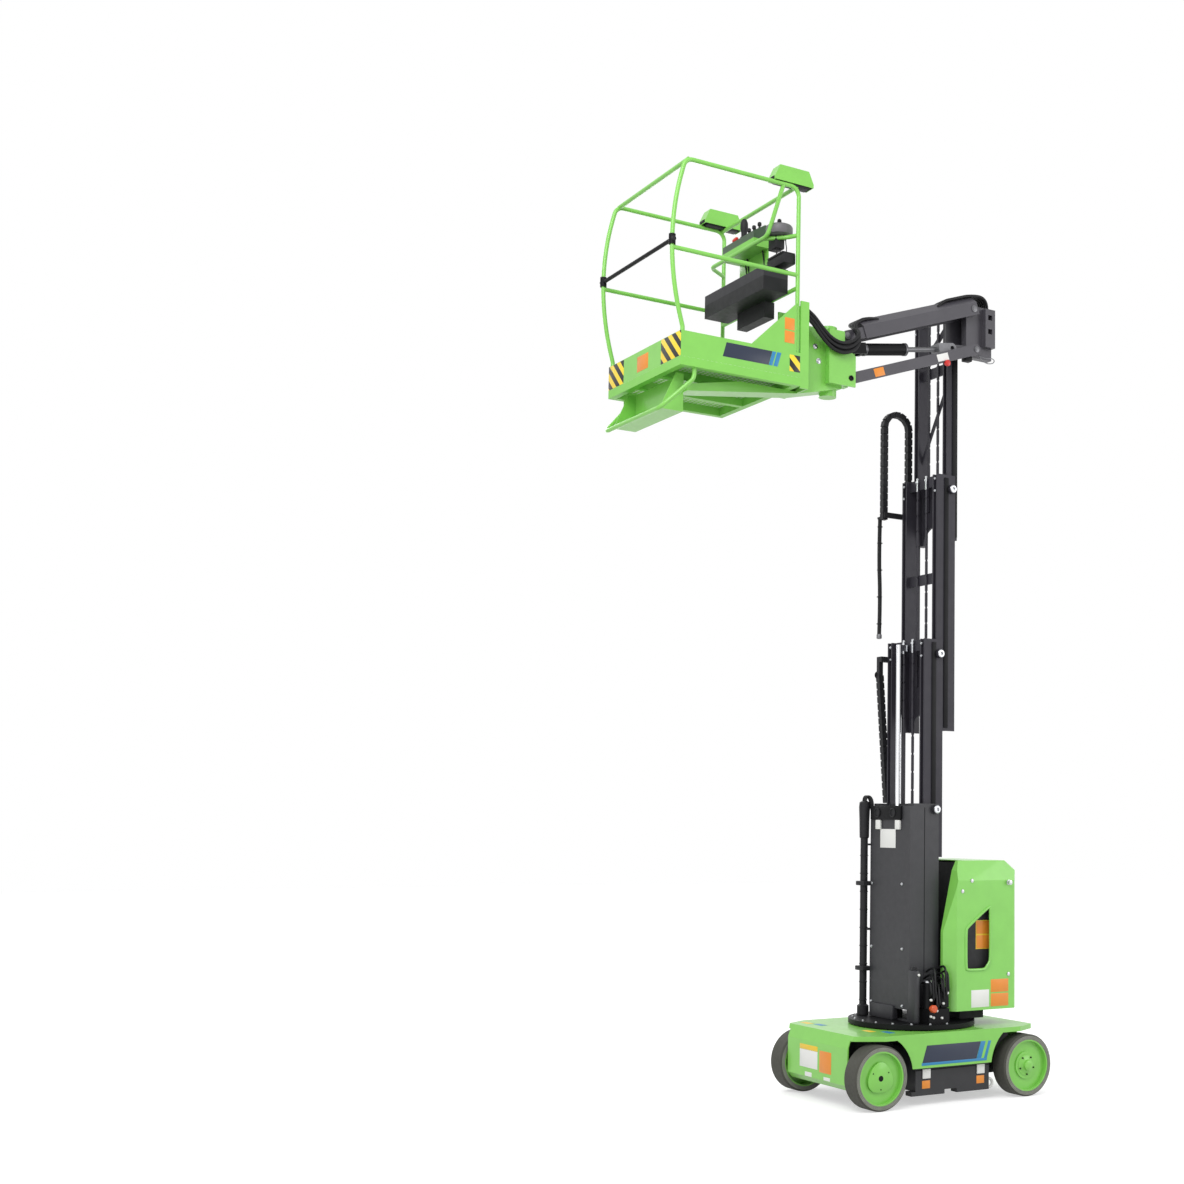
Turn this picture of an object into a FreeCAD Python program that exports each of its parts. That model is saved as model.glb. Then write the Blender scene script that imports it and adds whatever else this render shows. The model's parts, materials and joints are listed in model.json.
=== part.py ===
import FreeCAD, Part
import math
import os
import re
import Sketcher
from FreeCAD import Placement, Rotation, Vector

os.makedirs("parts", exist_ok=True)
doc = FreeCAD.newDocument("mast_lift")

# Sizes in millimetres and degrees. Places are measured from the slew axis:
# x runs forward to the basket, y to the machine's left, z up from the floor.
# Columns: name, value.
SIZES = (
    ("slew_x", -659.5),
    ("wheel_radius", 190.5),
    ("tyre_width", 127),
    ("rim_radius", 158),
    ("rim_lip", 9),
    ("rim_plate", 12),
    ("rim_inset", 20),
    ("rim_margin", 2),
    ("hub_radius", 84),
    ("hub_bore", 23),
    ("spindle_gap", 1),
    ("tyre_edge", 10),
    ("wheel_base", 1120),
    ("wheel_track", 829),
    ("kingpin_track", 580),
    ("kingpin_radius", 20),
    ("knuckle_height", 90),
    ("knuckle_half", 24),
    ("knuckle_margin", 8),
    ("fork_plate", 18),
    ("fork_gap", 5),
    ("steer_gap", 16),
    ("axle_beam", 70),
    ("axle_gap", 11),
    ("frame_half", 180),
    ("frame_bottom", 112),
    ("frame_front", 670),
    ("frame_rear", 640),
    ("cover_wall", 5),
    ("cover_gap", 10),
    ("deck_top", 430),
    ("nose_reach", 150),
    ("nose_half", 332),
    ("nose_bottom", 104),
    ("nose_shoulder", 40),
    ("nose_lean", 28),
    ("nose_crease", 76),
    ("nose_tuck", 34),
    ("side_half", 450),
    ("side_reach", 40),
    ("skirt_bottom", 225),
    ("arch_front", 247),
    ("arch_rear", 276),
    ("arch_top", 400),
    ("well_rear_half", 192),
    ("box_front", 272),
    ("box_rear", 292),
    ("box_half", 418),
    ("box_bottom", 84),
    ("box_height", 250),
    ("guard_length", 250),
    ("guard_height", 26),
    ("guard_width", 60),
    ("guard_lead", 30),
    ("bearing_radius", 250),
    ("bearing_bore", 190),
    ("plate_radius", 400),
    ("plate_thick", 28),
    ("plate_gap", 7),
    ("base_half", 215),
    ("base_wall", 8),
    ("base_front", 148),
    ("base_back", 50),
    ("base_height", 1350),
    ("base_foot", 10),
    ("base_tie", 6),
    ("base_sheave_x", -20),
    ("base_sheave_drop", 35),
    ("cover_depth", 27),
    ("cover_foot", 75),
    ("cover_drop", 15),
    ("slide_gap", 5),
    ("rail_web", 6),
    ("rail_width", 50),
    ("rail_depth", 80),
    ("groove_edge", 12),
    ("groove_width", 26),
    ("groove_depth", 35),
    ("pad_gap", 0.3),
    ("pad_height", 150),
    ("pad_margin", 5),
    ("tie_height", 70),
    ("tie_thick", 12),
    ("brace_height", 45),
    ("first_panel", 150),
    ("second_panel", 583),
    ("third_panel", 422),
    ("panel_arch", 110),
    ("sheave_radius", 29),
    ("sheave_bore", 12),
    ("sheave_reach", 22),
    ("sheave_drop", 92),
    ("sheave_back", 115),
    ("lift_chain_y", 48),
    ("lift_chain_width", 18),
    ("lift_chain_depth", 10),
    ("lift_link_run", 130),
    ("link_run", 46),
    ("link_waist", 12),
    ("hose_y", -242),
    ("hose_half", 19),
    ("hose_front", 72),
    ("hose_back", -127),
    ("hose_low", 3690),
    ("hose_spring", 4313),
    ("hose_band", 15),
    ("hose_arm", 8),
    ("hose_end", 3880),
    ("cord_y", -285),
    ("cord_low", 2916),
    ("cord_radius", 10),
    ("cord_sway", 7),
    ("ladder_drop", 207),
    ("ladder_rise", 119),
    ("ladder_x", 94),
    ("ladder_run", 838),
    ("ladder_lean", 65),
    ("first_front", 60),
    ("second_front", -42),
    ("third_front", -130),
    ("first_back", 85),
    ("second_back", 188),
    ("third_back", 212),
    ("first_bottom", 1480),
    ("second_bottom", 2280),
    ("third_bottom", 3521),
    ("first_length", 1383),
    ("second_length", 1663),
    ("third_length", 1555),
    ("lift_x", 114),
    ("barrel_radius", 38),
    ("barrel_drop", 25),
    ("barrel_foot", 20),
    ("rod_radius", 18),
    ("rod_gap", 1),
    ("rod_tuck", 40),
    ("rod_drop", 30),
    ("guide_x", 192),
    ("guide_y", -262),
    ("guide_radius", 24),
    ("guide_arm", 12),
    ("hood_front", -45),
    ("hood_length", 555),
    ("hood_half", 330),
    ("hood_bottom", 530),
    ("hood_height", 930),
    ("hood_slant", 85),
    ("hood_knee", 490),
    ("hood_bevel", 62),
    ("hood_cheek", 62),
    ("hood_wall", 6),
    ("window_front", -180),
    ("window_rear", -375),
    ("window_low", 780),
    ("window_high", 1180),
    ("window_knee", 1040),
    ("window_corner", 50),
    ("battery_half", 290),
    ("battery_wall", 20),
    ("battery_height", 690),
    ("hood_arm", 85),
    ("hood_notch", 185),
    ("pack_front", -232),
    ("pack_length", 190),
    ("pack_half", 200),
    ("pack_height", 980),
    ("shelf_thick", 15),
    ("pump_x", -40),
    ("pump_y", 238),
    ("pump_length", 155),
    ("pump_width", 105),
    ("pump_height", 90),
    ("motor_radius", 33),
    ("motor_height", 250),
    ("valve_length", 66),
    ("valve_height", 215),
    ("coil_radius", 12),
    ("coil_reach", 22),
    ("coil_pitch", 44),
    ("jib_x", -215),
    ("jib_z", 5025),
    ("jib_reach", 990),
    ("jib_drop", 356),
    ("jib_spread", 277),
    ("jib_y", 286),
    ("jib_width", 130),
    ("jib_side", 80),
    ("jib_bevel", 45),
    ("jib_fold", 45),
    ("jib_wall", 6),
    ("tongue_wall", 10),
    ("tongue_show", 140),
    ("tongue_root", 120),
    ("pin_radius", 15),
    ("pin_gap", 0.5),
    ("link_thick", 20),
    ("side_gap", 6),
    ("lug_half", 25),
    ("lug_radius", 34),
    ("post_depth", 80),
    ("post_height", 255),
    ("post_bottom", 4790),
    ("post_gap", 61),
    ("post_hole", 34),
    ("post_hole_inset", 24),
    ("post_hole_drop", 56),
    ("post_hole_pitch", 93),
    ("post_hole_depth", 60),
    ("plate_inner", 198),
    ("plate_wall", 12),
    ("plate_length", 300),
    ("spacer_drop", 10),
    ("spacer_height", 150),
    ("eye_x", -50),
    ("eye_z", 215),
    ("rod_lug_x", 160),
    ("rod_lug_z", -285),
    ("ear_wall", 12),
    ("ear_reach", 80),
    ("ear_block", 28),
    ("jib_barrel_radius", 38),
    ("jib_barrel_length", 330),
    ("jib_rod_radius", 16),
    ("jib_rod_cover", 105),
    ("basket_rear", 1187),
    ("basket_length", 802),
    ("basket_half", 468),
    ("basket_bottom", 4310),
    ("basket_height", 1180),
    ("floor_thick", 4),
    ("floor_frame", 50),
    ("floor_rail", 40),
    ("toe_height", 150),
    ("toe_wall", 4),
    ("rail_radius", 13),
    ("rail_bend", 60),
    ("rail_turn", 90),
    ("mid_rail_drop", 540),
    ("rear_rail_drop", 617),
    ("guard_drop", 294),
    ("guard_reach", 146),
    ("guard_side", 115),
    ("guard_side_out", 100),
    ("bow_push", 140),
    ("bow_radius", 1600),
    ("bow_start", 25),
    ("gusset_length", 320),
    ("gusset_height", 300),
    ("step_x", 1880),
    ("step_foot", 4036),
    ("step_length", 140),
    ("step_lip", 24),
    ("step_top", 50),
    ("step_half", 304),
    ("step_wall", 4),
    ("hoop_x", 2053),
    ("hoop_z", 4025),
    ("hoop_half", 360),
    ("hoop_root", 440),
    ("hoop_knee", 60),
    ("mount_back", 815),
    ("mount_front", 935),
    ("mount_low", 4340),
    ("mount_high", 4680),
    ("mount_plate", 12),
    ("rotor_radius", 54),
    ("rotor_foot", 62),
    ("rotor_cap", 34),
    ("channel_depth", 57),
    ("channel_inner", 200),
    ("channel_low", 4250),
    ("channel_high", 4780),
    ("channel_wall", 12),
    ("arm_low", 4150),
    ("arm_high", 4190),
    ("gate_radius", 12),
    ("sleeve_wall", 5),
    ("sleeve_length", 60),
    ("sleeve_gap", 2),
    ("seat_gap", 0.3),
    ("console_x", 1217),
    ("console_y", -230),
    ("console_length", 120),
    ("console_width", 380),
    ("console_height", 140),
    ("console_top", 150),
    ("drum_x", 1264),
    ("drum_y", 312),
    ("drum_radius", 60),
    ("drum_foot", 5196),
    ("drum_height", 46),
    ("tray_length", 170),
    ("tray_half", 360),
    ("tray_height", 145),
    ("tray_wall", 4),
    ("visor_x", 1110),
    ("visor_length", 270),
    ("visor_width", 84),
    ("visor_height", 95),
    ("visor_slant", 34),
    ("visor_sill", 22),
    ("cable_length", 70),
    ("cable_width", 330),
    ("cable_height", 100),
)

sheet = doc.addObject("Spreadsheet::Sheet", "Sizes")
for row, (alias, value) in enumerate(SIZES, 1):
    sheet.set(f"A{row}", alias)
    sheet.set(f"B{row}", str(value))
    sheet.setAlias(f"B{row}", alias)
doc.recompute()
ALIASES = {alias for alias, _ in SIZES}
WORD = re.compile(r"[a-z][a-z_]*[a-z]")
nodes = []


def size(alias):
    """Value of one cell of the sheet."""
    return float(sheet.get(alias))


def bind(item, prop, text):
    """Bind a property to a formula in the sheet's names."""
    formula = WORD.sub(lambda m: f"Sizes.{m[0]}" if m[0] in ALIASES else m[0], str(text))
    item.setExpression(prop, formula)


def place(item, x, y, z):
    """Bind the place of a primitive."""
    for axis, text in zip("xyz", (x, y, z)):
        bind(item, f"Placement.Base.{axis}", text)


def box(x, y, z, length, width, height):
    """Block from its lowest corner."""
    item = doc.addObject("Part::Box", "Block")
    bind(item, "Length", length)
    bind(item, "Width", width)
    bind(item, "Height", height)
    place(item, x, y, z)
    return item


def block(xs, ys, zs):
    """Block between two places on each axis."""
    spans = [f"({high}) - ({low})" for low, high in (xs, ys, zs)]
    return box(xs[0], ys[0], zs[0], *spans)


TURNS = {
    "x": Rotation(Vector(0, 1, 0), 90),
    "y": Rotation(Vector(1, 0, 0), -90),
    "z": Rotation(),
}


def rod(x, y, z, axis, radius, length):
    """Round bar from the centre of one end, along an axis."""
    item = doc.addObject("Part::Cylinder", "Bar")
    bind(item, "Radius", radius)
    bind(item, "Height", length)
    item.Placement = Placement(Vector(), TURNS[axis])
    place(item, x, y, z)
    return item


def fuse(*items):
    """One solid from several that meet."""
    joined = doc.addObject("Part::MultiFuse", "Weldment")
    joined.Shapes = list(items)
    return joined


def cut(base, *tools):
    """A solid with others taken out of it."""
    tool = tools[0] if len(tools) == 1 else fuse(*tools)
    result = doc.addObject("Part::Cut", "Cutout")
    result.Base = base
    result.Tool = tool
    return result


def common(base, tool):
    """What two solids share."""
    result = doc.addObject("Part::Common", "Overlap")
    result.Base = base
    result.Tool = tool
    return result


def mirror(item):
    """The same piece on the machine's other side."""
    result = doc.addObject("Part::Mirroring", "Mirrored")
    result.Source = item
    result.Normal = Vector(0, 1, 0)
    return result


def both_sides(left):
    """A left-hand piece with its mirror image."""
    return left, mirror(left)


def holder(*items):
    """Pieces kept together and placed as one."""
    group = doc.addObject("Part::Compound", "Set")
    group.Links = list(items)
    return group


def outline(body, points, axis, start):
    """Closed polygon sketch across an axis, its corners bound to formulas."""
    role = {"z": "XY_Plane", "y": "XZ_Plane", "x": "YZ_Plane"}[axis]
    plane = next(f for f in body.Origin.OriginFeatures if f.Role == role)
    sketch = body.newObject("Sketcher::SketchObject", "Outline")
    sketch.AttachmentSupport = (plane, [""])
    sketch.MapMode = "FlatFace"
    count = len(points)
    ring = [Rotation(Vector(0, 0, 1), 360 * i / count).multVec(Vector(0, 100, 0)) for i in range(count)]
    for i in range(count):
        sketch.addGeometry(Part.LineSegment(ring[i], ring[(i + 1) % count]), False)
    for i in range(count):
        sketch.addConstraint(Sketcher.Constraint("Coincident", i, 2, (i + 1) % count, 1))
    for i, corner in enumerate(points):
        for kind, text in zip(("DistanceX", "DistanceY"), corner):
            index = sketch.addConstraint(Sketcher.Constraint(kind, -1, 1, i, 1, 1.0))
            bind(sketch, f"Constraints[{index}]", text)
    sign = "-" if axis == "y" else ""
    bind(sketch, "AttachmentOffset.Base.z", f"{sign}({start})")
    return sketch


def prism(points, axis, start, length):
    """Polygon in the plane across an axis, pushed along it from a start."""
    body = doc.addObject("PartDesign::Body", "Profile")
    pad = body.newObject("PartDesign::Pad", "Push")
    sketch = outline(body, points, axis, start)
    pad.Profile = sketch
    bind(pad, "Length", length)
    pad.Reversed = axis == "y"
    return body


def turned(points):
    """Half section of (place along y, radius) pairs, turned about the y axis."""
    body = doc.addObject("PartDesign::Body", "Turning")
    sketch = outline(body, points, "x", "0")
    turn = body.newObject("PartDesign::Revolution", "Turn")
    turn.Profile = sketch
    turn.ReferenceAxis = (sketch, ["H_Axis"])
    turn.Angle = 360
    return body


def numbers(points):
    """Corner places worked out from their formulas."""
    found = []
    for corner in points:
        mark = doc.addObject("Part::Vertex", "Corner")
        for prop, text in zip("XYZ", corner):
            bind(mark, prop, text)
        mark.recompute()
        found.append(Vector(mark.X.Value, mark.Y.Value, mark.Z.Value))
        doc.removeObject(mark.Name)
    return found


def bent_path(points, bends):
    """Straight runs joined by arcs that touch both of their runs."""
    edges = []
    start = points[0]
    for before, corner, after, radius in zip(points, points[1:], points[2:], bends):
        inward = (before - corner).normalize()
        outward = (after - corner).normalize()
        half_turn = (math.pi - inward.getAngle(outward)) / 2
        reach = radius * math.tan(half_turn)
        first = corner + inward * reach
        last = corner + outward * reach
        centre = corner + (inward + outward).normalize() * (radius / math.cos(half_turn))
        middle = centre + (corner - centre).normalize() * radius
        edges.append(Part.LineSegment(start, first).toShape())
        edges.append(Part.Arc(first, middle, last).toShape())
        start = last
    edges.append(Part.LineSegment(start, points[-1]).toShape())
    return Part.Wire(edges)


def tube(points, bends, radius):
    """Round bar along a bent path whose corners are formulas."""
    places = numbers(points)
    path = bent_path(places, [size(bend) for bend in bends])
    ring = Part.Circle(places[0], places[1] - places[0], size(radius))
    item = doc.addObject("Part::Feature", "Tube")
    item.Shape = path.makePipeShell([Part.Wire(ring.toShape())], True, False)
    return item


def slope(item, turn, x, y, z):
    """Turn a level piece nose down about a pivot and put the pivot in place."""
    leaning = holder(item)
    leaning.Placement = Placement(Vector(), Rotation(Vector(0, 1, 0), 1))
    bind(leaning, "Placement.Rotation.Angle", turn)
    place(leaning, x, y, z)
    return leaning


def node(label, *items):
    """Name a sub-part and set it in the object's frame."""
    loose = items[0].TypeId in ("Part::Box", "Part::Cylinder") or items[0].Label.startswith("Set")
    piece = holder(*items) if loose or len(items) > 1 else items[0]
    piece.Label = label
    bind(piece, "Placement.Base.x", "slew_x")
    nodes.append(piece)


FRONT_AXLE = "(wheel_base / 2)"
REAR_AXLE = "(-wheel_base / 2)"
HALF_TRACK = "(wheel_track / 2)"
HALF_TYRE = "(tyre_width / 2)"
HUB_FACE = f"({HALF_TRACK} + {HALF_TYRE} - rim_inset)"
DECK_UNDER = "(deck_top - cover_wall)"
PLATE_TOP = "(deck_top + plate_gap + plate_thick)"
NOSE_FRONT = f"({FRONT_AXLE} + nose_reach)"
TAIL_REAR = f"({REAR_AXLE} - nose_reach)"


def frame():
    """Ballast frame with side boxes and the guards below them."""
    node("chassis_frame", block(
        ("-frame_rear", "frame_front"), ("-frame_half", "frame_half"), ("frame_bottom", DECK_UNDER),
    ))
    side_box = box(
        "-box_rear", "frame_half", "box_bottom",
        "box_front + box_rear", "box_half - frame_half", "box_height",
    )
    node("side_boxes", *both_sides(side_box))
    guards = []
    for start in ("box_front + guard_lead - guard_length", "-box_rear"):
        guards += both_sides(box(
            start, "box_half - guard_width", "box_bottom - guard_height",
            "guard_length", "guard_width", "guard_height",
        ))
    node("pothole_guards", *guards)


def axles():
    """Front beam with its spindles and rear forks for the steered wheels."""
    beam_end = f"({HALF_TRACK} - {HALF_TYRE} - axle_gap)"
    beam = block(
        (f"{FRONT_AXLE} - axle_beam / 2", f"{FRONT_AXLE} + axle_beam / 2"),
        ("frame_half", beam_end),
        ("wheel_radius - axle_beam / 2", "wheel_radius + axle_beam / 2"),
    )
    spindle = rod(
        FRONT_AXLE, beam_end, "wheel_radius", "y", "hub_bore - spindle_gap", f"{HUB_FACE} - {beam_end}",
    )
    node("front_axle", *both_sides(fuse(beam, spindle)))
    fork_half = "(knuckle_half + knuckle_margin)"
    fork_x = (f"{REAR_AXLE} - {fork_half}", f"{REAR_AXLE} + {fork_half}")
    top = "(wheel_radius + knuckle_height / 2 + fork_gap)"
    low = "(wheel_radius - knuckle_height / 2 - fork_gap)"
    fork_end = "kingpin_track / 2 + knuckle_half"
    fork = fuse(
        block(fork_x, ("frame_half", fork_end), (top, f"{top} + fork_plate")),
        block(fork_x, ("frame_half", fork_end), (f"{low} - fork_plate", low)),
        block(fork_x, ("frame_half", "kingpin_track / 2 - knuckle_half - steer_gap"), (low, top)),
    )
    bore = rod(REAR_AXLE, "kingpin_track / 2", "0", "z", "kingpin_radius + spindle_gap", "deck_top")
    node("rear_axle", *both_sides(cut(fork, bore)))


def cover_plan(inset):
    """The cover's outline from above, drawn in by a wall."""
    left = [
        (f"{NOSE_FRONT} - {inset}", f"nose_half - {inset}"),
        (f"{NOSE_FRONT} - nose_shoulder", f"nose_half + nose_shoulder - {inset}"),
        (f"{FRONT_AXLE} - side_reach", f"side_half - {inset}"),
        (f"{REAR_AXLE} + side_reach", f"side_half - {inset}"),
        (f"{TAIL_REAR} + nose_shoulder", f"nose_half + nose_shoulder - {inset}"),
        (f"{TAIL_REAR} + {inset}", f"nose_half - {inset}"),
    ]
    return left + [(x, f"-({y})") for x, y in reversed(left)]


def cover_side(inset):
    """The cover's outline from the side: nose and tail lean back at the deck and tuck in below."""
    top = f"(deck_top - {inset})"
    half = [
        (NOSE_FRONT, 1),
        (TAIL_REAR, -1),
    ]
    # Columns: how far in from the end, height
    steps = (
        (f"nose_tuck + {inset}", "nose_bottom"),
        (inset, "nose_bottom + nose_tuck"),
        (inset, f"{top} - nose_crease"),
        (f"nose_lean + {inset}", top),
    )
    front, rear = [[(f"{end} - {side} * ({back})", z) for back, z in steps] for end, side in half]
    return front + rear[::-1]


def cover_form(inset):
    """The cover's outer form, drawn in by a wall."""
    return common(
        prism(cover_plan(inset), "z", "nose_bottom", f"deck_top - {inset} - nose_bottom"),
        prism(cover_side(inset), "y", "-side_half", "2 * side_half"),
    )


def cover():
    """Folded cover with nose and tail, open below and cut round the wheels."""
    shell = cut(cover_form("0"), cover_form("cover_wall"))
    out = "(side_half + side_reach)"
    tools = [rod("0", "0", "0", "z", "bearing_radius + cover_gap", "deck_top + 1")]
    tools.append(block((REAR_AXLE, FRONT_AXLE), (f"-{out}", out), ("0", "skirt_bottom")))
    # Columns: axle, arch radius, inner wall of the well, far end of the well
    wells = (
        (FRONT_AXLE, "arch_front", "nose_half", f"{NOSE_FRONT} + 1"),
        (REAR_AXLE, "arch_rear", "well_rear_half", f"{TAIL_REAR} - 1"),
    )
    for axle, radius, inner, end in wells:
        round_arch = rod(axle, inner, "wheel_radius", "y", radius, f"{out} - {inner}")
        below_top = block(
            (f"{axle} - {radius}", f"{axle} + {radius}"), (inner, out), (f"-{radius}", "arch_top"),
        )
        ahead = (axle, end) if axle == FRONT_AXLE else (end, axle)
        beyond = block(ahead, (inner, out), ("0", "arch_top"))
        tools += both_sides(fuse(common(round_arch, below_top), beyond))
    node("chassis_cover", cut(shell, *tools))


def bearing():
    """Slew ring between the frame and the turntable."""
    ring = ("0", "0", DECK_UNDER, "z")
    node("slew_bearing", cut(
        rod(*ring, "bearing_radius", "cover_wall + plate_gap"),
        rod(*ring, "bearing_bore", "cover_wall + plate_gap"),
    ))


WHEELS = (
    # name, axle, side
    ("front_left", FRONT_AXLE, 1),
    ("front_right", FRONT_AXLE, -1),
    ("rear_left", REAR_AXLE, 1),
    ("rear_right", REAR_AXLE, -1),
)


def wheels():
    """Four solid tyres on dished rims."""
    tyre_section = (
        (f"-{HALF_TYRE}", "rim_radius"),
        (HALF_TYRE, "rim_radius"),
        (HALF_TYRE, "wheel_radius - tyre_edge"),
        (f"{HALF_TYRE} - tyre_edge", "wheel_radius"),
        (f"tyre_edge - {HALF_TYRE}", "wheel_radius"),
        (f"-{HALF_TYRE}", "wheel_radius - tyre_edge"),
    )
    disc = f"({HALF_TYRE} - rim_inset - rim_lip)"
    rim_section = (
        (f"rim_inset - {HALF_TYRE}", "hub_bore"),
        (f"rim_inset - {HALF_TYRE}", "hub_radius"),
        (f"{disc} - rim_plate", "hub_radius"),
        (f"{disc} - rim_plate", "rim_radius - rim_lip"),
        (f"rim_margin - {HALF_TYRE}", "rim_radius - rim_lip"),
        (f"rim_margin - {HALF_TYRE}", "rim_radius"),
        (f"{HALF_TYRE} - rim_margin", "rim_radius"),
        (f"{HALF_TYRE} - rim_margin", "rim_radius - rim_lip"),
        (disc, "rim_radius - rim_lip"),
        (disc, "hub_radius"),
        (f"{disc} + rim_lip", "hub_radius"),
        (f"{disc} + rim_lip", "hub_bore"),
    )
    for name, axle, side in WHEELS:
        for kind, section in (("tyre", tyre_section), ("rim", rim_section)):
            piece = turned([(f"{side} * ({y})", radius) for y, radius in section])
            piece.Label = f"{kind}_{name}"
            place(piece, f"slew_x + {axle}", f"{side} * {HALF_TRACK}", "wheel_radius")
            nodes.append(piece)


def knuckles():
    """Steered stub axles of the rear wheels."""
    level = "(wheel_radius - knuckle_height / 2)"
    inner = "kingpin_track / 2 - knuckle_half"
    stub_start = "(kingpin_track / 2 + knuckle_half)"
    block_width = "2 * knuckle_half + knuckle_margin"
    body = box(
        f"{REAR_AXLE} - knuckle_half", inner, level, "2 * knuckle_half", block_width, "knuckle_height",
    )
    pin = rod(
        REAR_AXLE, "kingpin_track / 2", f"{level} - fork_gap - fork_plate", "z",
        "kingpin_radius", "knuckle_height + 2 * fork_gap + 2 * fork_plate",
    )
    stub = rod(
        REAR_AXLE, stub_start, "wheel_radius", "y", "hub_bore - spindle_gap", f"{HUB_FACE} - {stub_start}",
    )
    left = fuse(body, pin, stub)
    node("knuckle_left", holder(left))
    node("knuckle_right", mirror(left))


def sheave(face, x, z):
    """Bush of a chain wheel that shows on a stage's near side."""
    return cut(
        rod(x, face, z, "y", "sheave_radius", "sheave_reach"),
        rod(x, f"{face} + 1", z, "y", "sheave_bore", "sheave_reach"),
    )


def turntable():
    """Round plate with the mast's foot and front cover."""
    node("turntable_plate", rod("0", "0", "deck_top + plate_gap", "z", "plate_radius", "plate_thick"))
    inner = "(base_half - base_wall)"
    span = ("-base_back", "base_front")
    rise = (PLATE_TOP, f"{PLATE_TOP} + base_height")
    sides = fuse(
        block(span, (inner, "base_half"), rise),
        block(("base_front - rail_depth", "base_front"), (f"{inner} - rail_width", inner), rise),
    )
    foot = block(span, ("-base_half", "base_half"), (PLATE_TOP, f"{PLATE_TOP} + base_foot"))
    tie = block(
        ("base_front - rail_depth", "base_front - rail_depth + base_tie"),
        (f"-{inner}", inner),
        (f"{PLATE_TOP} + base_height - tie_height", f"{PLATE_TOP} + base_height"),
    )
    wheel = sheave("base_half", "base_sheave_x", f"{PLATE_TOP} + base_height - base_sheave_drop")
    node("mast_base", fuse(foot, tie, wheel, *both_sides(sides)))
    low = f"({PLATE_TOP} + cover_foot)"
    high = f"({PLATE_TOP} + base_height - cover_drop)"
    panel = cut(
        block(("base_front", "base_front + cover_depth"), ("-base_half", "base_half"), (low, high)),
        block(
            ("base_front - 1", "base_front + cover_depth - cover_wall"),
            ("cover_wall - base_half", "base_half - cover_wall"),
            (f"{low} - 1", f"{high} + 1"),
        ),
    )
    node("mast_cover", panel)


def lift():
    """Lift cylinder in the base and its rod under the first stage's tie."""
    foot_top = f"({PLATE_TOP} + base_foot)"
    node("lift_cylinder", cut(
        rod("lift_x", "0", foot_top, "z", "barrel_radius", "base_height - barrel_drop"),
        rod("lift_x", "0", f"{foot_top} + barrel_foot", "z", "rod_radius + rod_gap", "base_height"),
    ))
    low = "(first_bottom - rod_tuck)"
    top = "(first_bottom + first_length - rod_drop)"
    bar = rod("lift_x", "0", low, "z", "rod_radius", f"{top} - {low}")
    arm = block(
        ("first_front - rail_depth / 2 + tie_thick", "lift_x"),
        ("-rod_radius", "rod_radius"),
        (f"{top} - rod_tuck", top),
    )
    node("lift_rod", fuse(bar, arm))


def pump():
    """Tank with an upright motor, and a valve block with a row of coils on two faces."""
    tank = box("pump_x", "pump_y", PLATE_TOP, "pump_length", "pump_width", "pump_height")
    middle = "(pump_y + pump_width / 2)"
    motor = rod("pump_x + pump_length - motor_radius", middle, PLATE_TOP, "z", "motor_radius", "motor_height")
    valve = box(
        "pump_x", "pump_y + coil_reach", PLATE_TOP,
        "valve_length", "pump_width - 2 * coil_reach", "valve_height",
    )
    coils = []
    for row in (1, 2):
        level = f"({PLATE_TOP} + pump_height + coil_pitch * ({row} - 1 / 2))"
        coils.append(rod(
            "pump_x + valve_length / 2", "pump_y + coil_reach", level, "y",
            "coil_radius", "pump_width - coil_reach",
        ))
    for column in (1, 2):
        coils.append(rod(
            f"pump_x + valve_length * (2 * {column} - 1) / 4", middle, f"{PLATE_TOP} + valve_height", "z",
            "coil_radius", "coil_reach",
        ))
    return fuse(tank, motor, valve, *coils)


def services():
    """Hose guide, pump unit and power pack on the turntable."""
    guide = rod("guide_x", "guide_y", PLATE_TOP, "z", "guide_radius", "base_height")
    arms = []
    for fifth in (2, 4):
        level = f"({PLATE_TOP} + {fifth} / 5 * base_height)"
        arms.append(block(
            ("base_front", "guide_x"), ("guide_y", "-base_half"), (level, f"{level} + guide_arm"),
        ))
    node("hose_guide", fuse(guide, *arms))
    node("pump_unit", pump())
    pack = box(
        "pack_front - pack_length", "-pack_half", PLATE_TOP, "pack_length", "2 * pack_half", "pack_height",
    )
    shelf = block(
        ("hood_front - hood_length + hood_bevel", "pack_front"),
        ("hood_wall - hood_half", "hood_half - hood_wall"),
        ("hood_bottom", "hood_bottom + shelf_thick"),
    )
    battery = box(
        "hood_front - hood_length + hood_bevel", "battery_half - battery_wall", "hood_bottom + shelf_thick",
        "hood_length - hood_bevel - hood_slant - hood_wall", "battery_wall", "battery_height",
    )
    node("power_pack", fuse(pack, shelf, *both_sides(battery)))


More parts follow.
